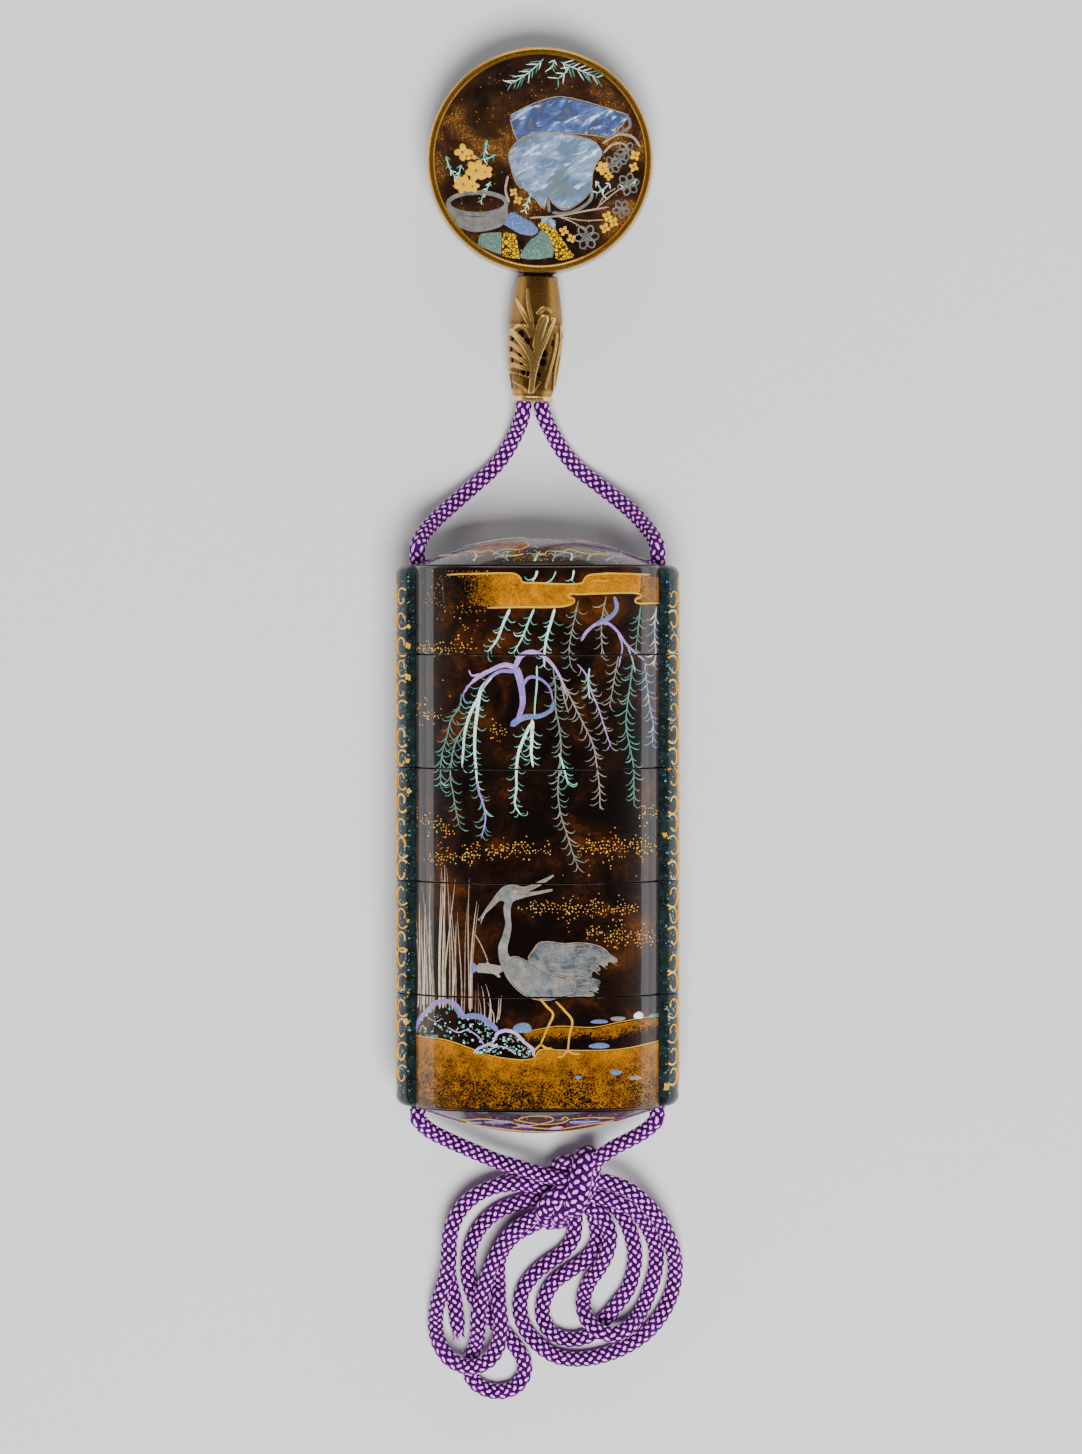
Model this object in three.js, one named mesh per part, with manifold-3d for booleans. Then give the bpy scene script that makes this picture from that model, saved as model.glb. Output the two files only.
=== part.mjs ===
// Inro: four stacked cases and a lid, strung on a silk cord with an ojime bead and a round netsuke.
// It lies on its back. Millimetres, +Z up, +Y towards the netsuke, decorated front facing up.
// The origin is the middle of the narrow flat along the back of the stack.

import * as THREE from 'three';
import { mergeVertices } from 'three/addons/utils/BufferGeometryUtils.js';
import Module from 'manifold-3d';

const wasm = await Module();
wasm.setup();

// ---- Driving dimensions -------------------------------------------------------------------

// Stack of cases. Width, depth and ovalness describe the superellipse of its plan.
const BODY_HALF_WIDTH = 20.5;
const BODY_HALF_DEPTH = 11.5;
const OVALNESS = 2.6;
const BACK_FLAT = 0.15;                       // taken off the back, so that the stack lies still
const STACK_HEIGHT = 88.2;                    // shoulder to shoulder
const CASE_HEIGHT = 18.45;                    // seam to seam, four times
const CASE_COUNT = 4;
const DOME_RISE = 4.6;                        // lid and base, above the shoulders
const SEAM_GAP = 0.3;

// Walls and joints between the cases. The side walls are thick enough to hold the cord channels.
const SIDE_WALL = 4.1;                        // outside to the empty inside
const FRONT_WALL = 2.0;
const RISER_WALL = 0.8;
const RISER_HEIGHT = 4.0;
const SOCKET_DEPTH = 4.5;
const SOCKET_CLEARANCE = 0.3;
const FLOOR = 1.2;
const DOME_FLOOR = 1.6;                       // thickness at the dome's foot
const DOME_HOLLOW = 4.0;                      // rise of the inside of each dome
const DOME_SHARES = [1, 0.84, 0.62, 0.36, 0]; // of the plan's radius, foot to crown

// Cord runners: a half-round rib down each side, bored for the cord.
const RUNNER_CENTRE = 20.2;
const RUNNER_REACH = 2.95;
const RUNNER_HALF_DEPTH = 4.8;
const RUNNER_ROUNDING = 1.6;
const CHANNEL_X = 19.6;
const CHANNEL_RADIUS = 1.7;

// Netsuke and ojime.
const NETSUKE_CENTRE = [0.4, 110.2];
const NETSUKE_RADIUS = 18.6;
const NETSUKE_THICKNESS = 10.6;
const NETSUKE_PROFILE = [                     // radius and height: back, bulging side, rim, face
  [0, 0], [15.2, 0], [17.3, 0.9], [18.35, 2.9], [NETSUKE_RADIUS, 5.3], [18.4, 7.9],
  [18.0, 9.6], [17.45, 10.1], [16.95, 9.8], [16.7, 9.55], [11, 10.25], [0, NETSUKE_THICKNESS],
];
const CORD_ENTRY_X = 0.1;
const CORD_SLOT_DEPTH = 8;
const OJIME_LENGTH = 20.4;
const OJIME_BOTTOM = [-0.8, 70.9];
const OJIME_LEAN = 0.0388;                    // radians, its upper end towards +X
const OJIME_AXIS_HEIGHT = 4.45;
const OJIME_FLAT = 0.1;
const OJIME_END_RADIUS = 3.2;
const OJIME_SWELL = 1.35;                     // added to the end radius at the widest place
const OJIME_TOP_RADIUS = 3.22;
const OJIME_LIP = [[3.25, 0], [3.38, 0.35]];  // radius and distance from the lower end
const OJIME_STEPS = 10;

// Cord. Its two strands lie side by side in the ojime and the netsuke.
const CORD_RADIUS = 1.25;
const CORD_SIDES = 8;
const CORD_STEP = 6.6;
const UPPER_STEP = 7.2;
const STRAND_OFFSET = 1.43;
const STRAND_CLEARANCE = 0.27;
const TOUCH_GAP = 0.3;

// Knot: a squared ellipsoid resting on the floor.
const KNOT_CENTRE = [5.7, -58.9, 4.95];
const KNOT_HALF_SIZE = [6.3, 6.1, 4.75];
const KNOT_SQUARENESS = 3;

// Facets around the large rounds.
const ROUND_FACETS = 44;
const NETSUKE_FACETS = 48;
const OJIME_FACETS = 24;
const CHANNEL_FACETS = 12;
const KNOT_FACETS = [24, 12];
const RUNNER_SEGMENTS = 10;
const RUNNER_END_SEGMENTS = 3;
const SLOT_SEGMENTS = 5;

const WELD_DISTANCE = 1e-4;
const FAR = 100;                              // beyond the stack on every side

const AXIS_HEIGHT = BODY_HALF_DEPTH - BACK_FLAT;
const HALF_STACK = STACK_HEIGHT / 2;

// ---- Materials ----------------------------------------------------------------------------

const finish = (color, roughness, metalness) => (
  new THREE.MeshStandardMaterial({ color, roughness, metalness })
);
const LACQUER = finish(0x1d0f08, 0.18, 0.0);
const NETSUKE_LACQUER = finish(0x24140a, 0.2, 0.0);
const GILT = finish(0x8a6a36, 0.35, 0.9);
const SILK = finish(0x6b3490, 0.75, 0.0);

// ---- Solids -------------------------------------------------------------------------------

// A closed three.js geometry as a manifold solid: shared vertices merged, pole slivers dropped,
// and turned right side out when its volume comes out negative.
function solidOf(geometry) {
  const bare = geometry.clone();
  bare.deleteAttribute('normal');
  bare.deleteAttribute('uv');
  const merged = mergeVertices(bare, WELD_DISTANCE);
  const position = merged.attributes.position;
  const index = merged.index.array;
  const corner = (i) => new THREE.Vector3().fromBufferAttribute(position, i);
  const kept = [];
  let volume = 0;
  for (let i = 0; i < index.length; i += 3) {
    const [a, b, c] = [index[i], index[i + 1], index[i + 2]];
    if (a === b || b === c || c === a) continue;
    kept.push([a, b, c]);
    volume += corner(a).dot(corner(b).cross(corner(c)));
  }
  const faces = volume > 0 ? kept : kept.map(([a, b, c]) => [a, c, b]);
  return new wasm.Manifold(new wasm.Mesh({
    numProp: 3,
    vertProperties: new Float32Array(position.array),
    triVerts: new Uint32Array(faces.flat()),
  }));
}

function geometryOf(solid) {
  const mesh = solid.getMesh();
  const geometry = new THREE.BufferGeometry();
  const places = new Float32Array(mesh.vertProperties);
  const corners = new Uint32Array(mesh.triVerts);
  geometry.setAttribute('position', new THREE.BufferAttribute(places, 3));
  geometry.setIndex(new THREE.BufferAttribute(corners, 1));
  return geometry;
}

// A box from its lowest to its highest corner.
function block(low, high) {
  const size = high.map((value, i) => value - low[i]);
  const geometry = new THREE.BoxGeometry(...size);
  geometry.translate(...low.map((value, i) => value + size[i] / 2));
  return solidOf(geometry);
}

// A lathe about the vertical, its round plan stretched to a superellipse of the given half sizes.
// The profile holds [share of the plan's radius, height].
function ovalTurning(halfWidth, halfDepth, profile) {
  const points = profile.map(([share, height]) => new THREE.Vector2(share, height));
  const geometry = new THREE.LatheGeometry(points, ROUND_FACETS);
  geometry.rotateX(Math.PI / 2);
  const position = geometry.attributes.position;
  for (let i = 0; i < position.count; i += 1) {
    const share = Math.hypot(position.getX(i), position.getY(i));
    if (share < WELD_DISTANCE) {
      position.setXY(i, 0, 0);
      continue;
    }
    const cosine = position.getX(i) / share;
    const sine = position.getY(i) / share;
    const bulge = (Math.abs(cosine) ** OVALNESS + Math.abs(sine) ** OVALNESS) ** (-1 / OVALNESS);
    position.setXY(i, halfWidth * share * bulge * cosine, halfDepth * share * bulge * sine);
  }
  return solidOf(geometry);
}

// The half width and half depth of the empty inside, of the riser round it and of the riser's socket.
const grown = ([width, depth], by) => [width + by, depth + by];
const INSIDE = [BODY_HALF_WIDTH - SIDE_WALL, BODY_HALF_DEPTH - FRONT_WALL];
const RISER = grown(INSIDE, RISER_WALL);
const SOCKET = grown(RISER, SOCKET_CLEARANCE);

// An upright oval block of the given half sizes between two heights.
function ovalBlock(halfSizes, low, high) {
  return ovalTurning(...halfSizes, [[0, low], [1, low], [1, high], [0, high]]);
}

// A shallow dome's profile, a parabola from its foot to its crown.
function domeProfile(foot, rise) {
  return DOME_SHARES.map((share) => [share, foot + rise * (1 - share * share)]);
}

// ---- The stack, built standing with its front towards -Y, about its own middle --------------

function runner(side) {
  const outline = new THREE.Shape();
  const reach = RUNNER_REACH - RUNNER_ROUNDING;
  const depth = RUNNER_HALF_DEPTH - RUNNER_ROUNDING;
  outline.absellipse(side * RUNNER_CENTRE, 0, reach, depth, 0, 2 * Math.PI);
  const geometry = new THREE.ExtrudeGeometry(outline, {
    depth: STACK_HEIGHT - 2 * RUNNER_ROUNDING,
    bevelThickness: RUNNER_ROUNDING,
    bevelSize: RUNNER_ROUNDING,
    bevelSegments: RUNNER_END_SEGMENTS,
    curveSegments: RUNNER_SEGMENTS,
  });
  geometry.translate(0, 0, RUNNER_ROUNDING - HALF_STACK);
  return solidOf(geometry);
}

function channel(side) {
  const sizes = [CHANNEL_RADIUS, CHANNEL_RADIUS, STACK_HEIGHT + 4 * DOME_RISE];
  const geometry = new THREE.CylinderGeometry(...sizes, CHANNEL_FACETS);
  geometry.rotateX(Math.PI / 2);
  geometry.translate(side * CHANNEL_X, 0, 0);
  return solidOf(geometry);
}

// The outside of the whole stack: oval body, two domes, runners and the flat along its back.
function stackOutside() {
  const base = domeProfile(-HALF_STACK, -DOME_RISE).reverse();
  const lid = domeProfile(HALF_STACK, DOME_RISE);
  const body = ovalTurning(BODY_HALF_WIDTH, BODY_HALF_DEPTH, [...base, ...lid]);
  const behind = block([-FAR, AXIS_HEIGHT, -FAR], [FAR, FAR, FAR]);
  return body.add(runner(-1)).add(runner(1)).subtract(behind);
}

const outside = stackOutside();
const channels = channel(-1).add(channel(1));
const highestSeam = CASE_COUNT * CASE_HEIGHT - HALF_STACK;
const seams = Array.from({ length: CASE_COUNT + 1 }, (_, i) => highestSeam - i * CASE_HEIGHT);

// The stack's outside between two seams, with half of each seam's gap taken off.
function slice(low, high) {
  const between = block([-FAR, -FAR, low + SEAM_GAP / 2], [FAR, FAR, high - SEAM_GAP / 2]);
  return outside.intersect(between);
}

function socket(low) {
  return ovalBlock(SOCKET, low - 1, low + SOCKET_DEPTH);
}

function makeLid() {
  const ceiling = domeProfile(HALF_STACK - DOME_FLOOR, DOME_HOLLOW);
  const hollow = ovalTurning(...INSIDE, [[0, seams[0]], [1, seams[0]], ...ceiling]);
  const shell = slice(seams[0], 2 * HALF_STACK).subtract(channels);
  return shell.subtract(hollow).subtract(socket(seams[0]));
}

// Case number i, counted from the lid. The last one has the domed base, the others a raised floor
// over the socket that takes the riser below.
function makeCase(i) {
  const high = seams[i];
  const low = seams[i + 1];
  const last = i === CASE_COUNT - 1;
  const rim = high + RISER_HEIGHT;
  const riser = ovalBlock(RISER, high - 2, rim);
  const shell = slice(last ? -2 * HALF_STACK : low, high).add(riser).subtract(channels);
  if (last) {
    const floor = domeProfile(-HALF_STACK + DOME_FLOOR, -DOME_HOLLOW).reverse();
    return shell.subtract(ovalTurning(...INSIDE, [...floor, [1, rim + 1], [0, rim + 1]]));
  }
  const inside = ovalBlock(INSIDE, low + SOCKET_DEPTH + FLOOR, rim + 1);
  return shell.subtract(inside).subtract(socket(low));
}

// ---- Netsuke and ojime ---------------------------------------------------------------------

// A slot for the two strands side by side, along +Y from y = 0, on the height given.
function strandSlot(length, height) {
  const radius = CORD_RADIUS + STRAND_CLEARANCE;
  const outline = new THREE.Shape();
  outline.absarc(STRAND_OFFSET, 0, radius, -Math.PI / 2, Math.PI / 2);
  outline.absarc(-STRAND_OFFSET, 0, radius, Math.PI / 2, 1.5 * Math.PI);
  const options = { depth: length, bevelEnabled: false, curveSegments: SLOT_SEGMENTS };
  const geometry = new THREE.ExtrudeGeometry(outline, options);
  geometry.rotateX(-Math.PI / 2);
  geometry.translate(0, 0, height);
  return solidOf(geometry);
}

// A round manju: flat back, bulging side, a rolled rim and a slightly raised face.
function makeNetsuke() {
  const points = NETSUKE_PROFILE.map(([radius, height]) => new THREE.Vector2(radius, height));
  const geometry = new THREE.LatheGeometry(points, NETSUKE_FACETS);
  geometry.rotateX(Math.PI / 2);
  geometry.translate(...NETSUKE_CENTRE, 0);
  const slot = strandSlot(CORD_SLOT_DEPTH + 2, OJIME_AXIS_HEIGHT);
  const entry = [CORD_ENTRY_X, NETSUKE_CENTRE[1] - NETSUKE_RADIUS - 2, 0];
  return solidOf(geometry).subtract(slot.translate(entry));
}

// The bead's radius at a share t of its length from the lower end: a stretched sine, fullest a
// little past the middle.
function ojimeRadius(t) {
  const angle = Math.PI * Math.min(1, t * 0.93 + 0.02);
  return OJIME_END_RADIUS + OJIME_SWELL * Math.sin(angle) ** 1.15;
}

// A barrel bead along +Y with a lip at its lower end, bored for two strands, with a narrow flat
// where it rests.
function makeOjime() {
  const profile = [[0, 0], ...OJIME_LIP];
  for (let i = 1; i < OJIME_STEPS; i += 1) {
    const t = i / OJIME_STEPS;
    profile.push([ojimeRadius(t), t * OJIME_LENGTH]);
  }
  profile.push([OJIME_TOP_RADIUS, OJIME_LENGTH], [0, OJIME_LENGTH]);
  const points = profile.map(([radius, along]) => new THREE.Vector2(radius, along));
  const bead = solidOf(new THREE.LatheGeometry(points, OJIME_FACETS));
  const bore = strandSlot(OJIME_LENGTH + 2, 0).translate([0, -1, 0]);
  const below = block([-FAR, -FAR, -FAR], [FAR, FAR, OJIME_FLAT - OJIME_AXIS_HEIGHT - 0.1]);
  return bead.subtract(bore).subtract(below);
}

// ---- Cord ----------------------------------------------------------------------------------

const lift = (points) => points.map(([x, y, z]) => new THREE.Vector3(x, y, z));

// One stretch of cord: an eight-sided section swept along a smooth curve through its points.
function cordTube(points, step = CORD_STEP) {
  const route = new THREE.CatmullRomCurve3(lift(points), false, 'centripetal');
  const section = new THREE.Shape();
  for (let i = 0; i < CORD_SIDES; i += 1) {
    const angle = ((i + 0.5) * 2 * Math.PI) / CORD_SIDES;
    const place = [CORD_RADIUS * Math.cos(angle), CORD_RADIUS * Math.sin(angle)];
    if (i === 0) section.moveTo(...place);
    else section.lineTo(...place);
  }
  section.closePath();
  const steps = Math.max(1, Math.round(route.getLength() / step));
  return solidOf(new THREE.ExtrudeGeometry(section, { steps, extrudePath: route, bevelEnabled: false }));
}

// A sphere squared towards a box and grown by the gap given.
function knotSolid(gap) {
  const geometry = new THREE.SphereGeometry(1, ...KNOT_FACETS);
  const position = geometry.attributes.position;
  for (let i = 0; i < position.count; i += 1) {
    const place = [position.getX(i), position.getY(i), position.getZ(i)];
    const length = place.reduce((sum, value) => sum + Math.abs(value) ** KNOT_SQUARENESS, 0);
    const scale = length ** (-1 / KNOT_SQUARENESS);
    const reach = KNOT_HALF_SIZE.map((half) => scale * (half + gap));
    position.setXYZ(i, ...place.map((value, k) => KNOT_CENTRE[k] + value * reach[k]));
  }
  return solidOf(geometry);
}

// Where the bow's cords meet the knot they stop a touch short of it.
const knotReach = knotSolid(TOUCH_GAP);
const CHANNEL_END = HALF_STACK + 1.2;
const UPPER_END = CHANNEL_END + TOUCH_GAP;

// The strands' own offsets along the leaning ojime.
const ojimeTop = OJIME_BOTTOM[1] + OJIME_LENGTH;
const netsukeDepth = NETSUKE_CENTRE[1] - NETSUKE_RADIUS + CORD_SLOT_DEPTH - 1;

const UPPER_LEFT = [
  [-1.35, netsukeDepth, 4.45], [-1.35, 94.0, 4.45], [-1.42, ojimeTop, 4.45], [-1.83, 81.0, 4.45],
  [-2.22, 71.2, 4.45], [-2.32, 69.7, 4.4], [-2.6, 68.2, 3.7], [-3.2, 66.6, 2.5], [-4.1, 64.7, 1.7],
  [-5.4, 62.4, 1.35], [-7.5, 59.8, 1.4], [-10.3, 57.3, 2.0], [-13.1, 54.8, 3.2], [-15.8, 52.4, 5.0],
  [-17.9, 50.2, 7.4], [-19.0, 48.6, 9.6], [-19.5, 47.3, 10.9], [-CHANNEL_X, UPPER_END + 1, AXIS_HEIGHT],
  [-CHANNEL_X, UPPER_END, AXIS_HEIGHT],
];
const UPPER_RIGHT = [
  [1.5, netsukeDepth, 4.45], [1.5, 94.0, 4.45], [1.43, ojimeTop, 4.45], [1.02, 81.0, 4.45],
  [0.64, 71.2, 4.45], [0.72, 69.7, 4.4], [1.2, 68.2, 3.7], [2.0, 66.6, 2.5], [3.0, 64.7, 1.7],
  [4.5, 62.4, 1.35], [6.8, 59.8, 1.4], [10.0, 57.3, 2.0], [13.2, 54.8, 3.2], [16.0, 52.4, 5.0],
  [17.9, 50.2, 7.4], [19.0, 48.6, 9.6], [19.5, 47.3, 10.9], [CHANNEL_X, UPPER_END + 1, AXIS_HEIGHT],
  [CHANNEL_X, UPPER_END, AXIS_HEIGHT],
];
const LOWER_LEFT = [
  [-CHANNEL_X, -UPPER_END, AXIS_HEIGHT], [-CHANNEL_X, -UPPER_END - 0.8, AXIS_HEIGHT], [-19.0, -47.3, 10.8],
  [-17.5, -48.7, 9.9], [-15.0, -50.1, 8.8],
  [-11.3, -51.9, 7.6], [-7.0, -53.8, 6.8], [-2.9, -55.1, 6.5], [1.2, -56.3, 6.6], [5.0, -57.2, 6.8],
];
const LOWER_RIGHT = [
  [CHANNEL_X, -UPPER_END, AXIS_HEIGHT], [CHANNEL_X, -UPPER_END - 0.8, AXIS_HEIGHT], [19.0, -47.3, 10.9],
  [17.6, -48.6, 10.2], [15.2, -50.1, 9.4],
  [12.4, -51.6, 8.7], [10.1, -53.3, 8.3], [8.0, -54.9, 8.0],
];

// The bow, as it lies: outer and inner loop and the bare end to the left, three loops to the right.
const LOOP_LEFT_OUTER = [
  [5.0, -59.0, 4.3], [1.2, -58.5, 4.3], [-2.9, -58.0, 4.3], [-7.2, -58.5, 4.3], [-10.8, -60.3, 4.3],
  [-13.3, -63.1, 4.3], [-14.5, -66.6, 4.3], [-14.6, -70.3, 4.3], [-15.0, -73.1, 4.3], [-15.7, -75.6, 3.9],
  [-16.5, -78.1, 2.8], [-16.9, -80.6, 1.6], [-16.8, -82.9, 1.8], [-16.0, -85.2, 3.2], [-14.5, -87.0, 4.3],
  [-12.3, -88.2, 4.3], [-9.8, -88.2, 4.3], [-7.7, -86.9, 4.3], [-6.5, -84.7, 4.3], [-6.0, -82.2, 4.3],
  [-6.2, -79.6, 4.3], [-6.5, -77.3, 3.5], [-6.5, -75.4, 2.0], [-6.6, -73.2, 1.3], [-6.4, -70.8, 1.3],
  [-5.4, -68.7, 1.3], [-3.7, -66.8, 1.3], [-1.4, -65.5, 1.3], [1.4, -64.0, 1.3], [4.4, -62.0, 1.3],
];
const CORD_END = [
  [5.0, -57.7, 1.3], [1.2, -57.4, 1.3], [-2.9, -57.5, 1.3], [-7.2, -58.7, 1.3], [-10.9, -60.7, 1.3],
  [-13.3, -63.5, 1.3], [-14.5, -67.0, 1.3], [-14.8, -70.7, 1.3], [-14.6, -74.3, 1.3], [-13.8, -77.6, 1.3],
  [-13.4, -80.6, 1.3], [-13.1, -83.3, 1.3],
];
const LOOP_LEFT_INNER = [
  [5.0, -61.4, 5.4], [1.7, -62.7, 5.0], [-1.2, -64.0, 4.3], [-3.9, -65.8, 4.3], [-5.9, -68.3, 4.3],
  [-7.4, -71.1, 4.3], [-8.5, -74.1, 4.3], [-9.3, -76.9, 4.3], [-9.8, -79.7, 4.3], [-9.9, -82.4, 3.1],
  [-10.2, -84.9, 1.7], [-10.9, -87.1, 1.3], [-11.3, -89.3, 1.3], [-10.5, -91.2, 1.3], [-8.6, -92.5, 1.3],
  [-6.1, -92.9, 1.3], [-3.7, -92.1, 1.3], [-2.3, -90.1, 1.3], [-2.3, -87.7, 1.3], [-3.5, -85.6, 1.3],
  [-5.1, -83.6, 1.3], [-6.9, -81.6, 1.3], [-8.7, -79.6, 1.3], [-10.4, -77.3, 1.3], [-11.4, -74.5, 1.3],
  [-11.5, -71.3, 1.3], [-10.9, -68.2, 1.3], [-9.2, -65.2, 1.3], [-6.4, -62.8, 1.3], [-2.9, -61.4, 1.3],
  [0.7, -60.5, 1.3], [4.7, -60.4, 1.3],
];
const LOOP_RIGHT_OUTER = [
  [6.3, -61.0, 1.3], [6.2, -64.7, 1.3], [5.9, -67.3, 1.3], [4.2, -69.7, 1.3], [1.4, -71.7, 1.3],
  [-0.9, -73.8, 1.3], [-2.6, -76.5, 1.3], [-2.9, -79.6, 1.3], [-1.8, -82.8, 1.3], [0.4, -85.3, 1.3],
  [3.1, -87.0, 1.3], [6.5, -87.5, 1.3], [10.4, -87.0, 1.3], [14.2, -85.6, 1.3], [17.8, -83.3, 1.3],
  [20.6, -80.0, 1.3], [22.3, -76.2, 1.3], [22.8, -72.1, 1.8], [22.1, -68.3, 3.2], [20.4, -64.4, 4.8],
  [18.0, -61.3, 6.2], [15.2, -58.8, 7.0], [12.1, -57.5, 7.3], [9.0, -56.8, 7.4],
];
const LOOP_RIGHT_MIDDLE = [
  [7.9, -61.2, 1.3], [9.2, -63.3, 1.3], [9.8, -65.7, 1.3], [9.8, -68.2, 1.3], [8.2, -70.7, 1.3],
  [5.5, -72.7, 1.3], [2.7, -74.8, 1.3], [1.1, -77.6, 1.3], [0.9, -80.6, 1.3], [2.2, -83.0, 1.3],
  [4.5, -84.1, 1.3], [7.0, -84.1, 1.3], [9.4, -83.0, 1.3], [11.2, -80.8, 1.3], [13.0, -78.6, 1.3],
  [14.8, -76.2, 1.3], [15.8, -73.2, 1.3], [16.1, -70.0, 1.3], [15.5, -66.8, 1.3], [14.2, -63.8, 1.3],
  [12.2, -61.5, 1.3], [9.5, -59.9, 1.3],
];
const LOOP_RIGHT_INNER = [
  [8.7, -61.7, 4.3], [10.8, -63.6, 4.3], [11.9, -66.3, 4.3], [11.5, -69.3, 4.3], [10.2, -72.1, 3.2],
  [8.5, -74.8, 1.6], [7.6, -77.6, 1.6], [8.0, -80.2, 3.5], [9.8, -82.2, 4.6], [12.5, -82.9, 4.6],
  [15.1, -81.9, 3.5], [17.1, -79.5, 1.5], [18.5, -76.3, 1.3], [19.5, -72.8, 1.3], [19.6, -69.2, 1.3],
  [18.4, -65.8, 2.0], [16.4, -62.9, 3.4], [13.8, -61.2, 4.3], [10.8, -60.3, 4.3], [8.3, -60.0, 4.3],
];

const channelRun = (x) => [CHANNEL_END, 0, -CHANNEL_END].map((y) => [x, y, AXIS_HEIGHT]);

// ---- Assembly ------------------------------------------------------------------------------

const inro = new THREE.Group();

function place(name, solid, material, parent = inro) {
  const mesh = new THREE.Mesh(geometryOf(solid), material);
  mesh.name = name;
  parent.add(mesh);
  return mesh;
}

// The stack is laid on its back: its top turns towards +Y and its front towards +Z.
const stack = new THREE.Group();
stack.rotation.x = -Math.PI / 2;
stack.position.z = AXIS_HEIGHT;
inro.add(stack);
place('lid', makeLid(), LACQUER, stack);
for (let i = 0; i < CASE_COUNT; i += 1) place(`case_${i + 1}`, makeCase(i), LACQUER, stack);

place('netsuke', makeNetsuke(), NETSUKE_LACQUER);
const ojime = place('ojime', makeOjime(), GILT);
ojime.position.set(...OJIME_BOTTOM, OJIME_AXIS_HEIGHT);
ojime.rotation.z = -OJIME_LEAN;

place('cord_left_upper', cordTube(UPPER_LEFT, UPPER_STEP), SILK);
place('cord_right_upper', cordTube(UPPER_RIGHT, UPPER_STEP), SILK);
place('cord_left_channel', cordTube(channelRun(-CHANNEL_X), STACK_HEIGHT / 2), SILK);
place('cord_right_channel', cordTube(channelRun(CHANNEL_X), STACK_HEIGHT / 2), SILK);
place('cord_left_lower', cordTube(LOWER_LEFT).subtract(knotReach), SILK);
place('cord_right_lower', cordTube(LOWER_RIGHT).subtract(knotReach), SILK);

place('knot', knotSolid(0), SILK);
const BOW = {
  loop_left_outer: LOOP_LEFT_OUTER,
  loop_left_inner: LOOP_LEFT_INNER,
  loop_right_outer: LOOP_RIGHT_OUTER,
  loop_right_middle: LOOP_RIGHT_MIDDLE,
  loop_right_inner: LOOP_RIGHT_INNER,
  cord_end: CORD_END,
};
for (const [name, points] of Object.entries(BOW)) {
  place(name, cordTube(points).subtract(knotReach), SILK);
}

export default inro;
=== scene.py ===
import math

import bmesh
import bpy
import numpy as np
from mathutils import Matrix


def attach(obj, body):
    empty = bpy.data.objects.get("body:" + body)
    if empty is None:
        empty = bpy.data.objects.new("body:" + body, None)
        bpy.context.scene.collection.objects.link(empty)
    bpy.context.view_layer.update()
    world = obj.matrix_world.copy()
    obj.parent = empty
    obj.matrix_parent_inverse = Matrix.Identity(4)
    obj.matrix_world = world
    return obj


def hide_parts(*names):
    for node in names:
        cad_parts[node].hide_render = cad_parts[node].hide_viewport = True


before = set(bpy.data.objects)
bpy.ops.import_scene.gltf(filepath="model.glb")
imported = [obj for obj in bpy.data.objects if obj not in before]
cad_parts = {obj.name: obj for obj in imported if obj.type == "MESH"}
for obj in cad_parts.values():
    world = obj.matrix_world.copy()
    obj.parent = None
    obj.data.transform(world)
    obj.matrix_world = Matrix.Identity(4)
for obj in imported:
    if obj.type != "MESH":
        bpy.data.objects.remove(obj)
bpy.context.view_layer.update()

# ==== Camera ====
# A long lens, straight above the inro as it lies on its back, its netsuke to the top of the
# view and leaning 2 degrees towards the foot of the stack.

CAMERA_PLACE = (0.00057, 0.0483, 0.91135)
CAMERA_AIM = (0.00057, 0.0177, 0.01135)
LENS = 136.5

camera_data = bpy.data.cameras.new("camera")
camera_data.lens = LENS
camera = bpy.data.objects.new("camera", camera_data)
camera.location = CAMERA_PLACE
lean = math.atan2(CAMERA_AIM[1] - CAMERA_PLACE[1], CAMERA_PLACE[2] - CAMERA_AIM[2])
camera.rotation_euler = (lean, 0, 0)
bpy.context.collection.objects.link(camera)
bpy.context.scene.camera = camera

# ==== Silk cord ====
# One cord of plaited silk, purple with a pale stitch in every other place of its chequer. Each of
# its two strands runs from the netsuke through the ojime, down one side of the stack and into the
# knot, and the slack is tied in a bow of five loops and one bare end.

MM = 0.001
CORD_DIAMETER = 2.5
STITCHES_ROUND = 10
STITCH_LENGTH = 0.74
STITCH_SLANT = 0.55             # of a stitch, up and down by turns round the cord
STITCH_RISE = 0.15
CORD_SIDES = 40
RING_GAP = 0.16
HIDDEN_RINGS = 10               # only every tenth ring is kept inside the stack, bead and netsuke
IN_NETSUKE, IN_OJIME, IN_STACK = 93, (72.5, 90), 43     # where y hides the strands
DRAWN_IN = 1.6                  # the length over which the bare end narrows
PALE_SILK, SHADED_PALE = (1.0, 0.39, 1.0), (0.76, 0.2, 0.95)
PURPLE_SILK, LIT_PURPLE = (0.022, 0.0002, 0.04), (0.046, 0.0004, 0.088)
# near-black purple, painted shade in the crevices between stitches and over the knot's core
CREVICE_SHADE = (0.004, 0.0, 0.008)

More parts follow.
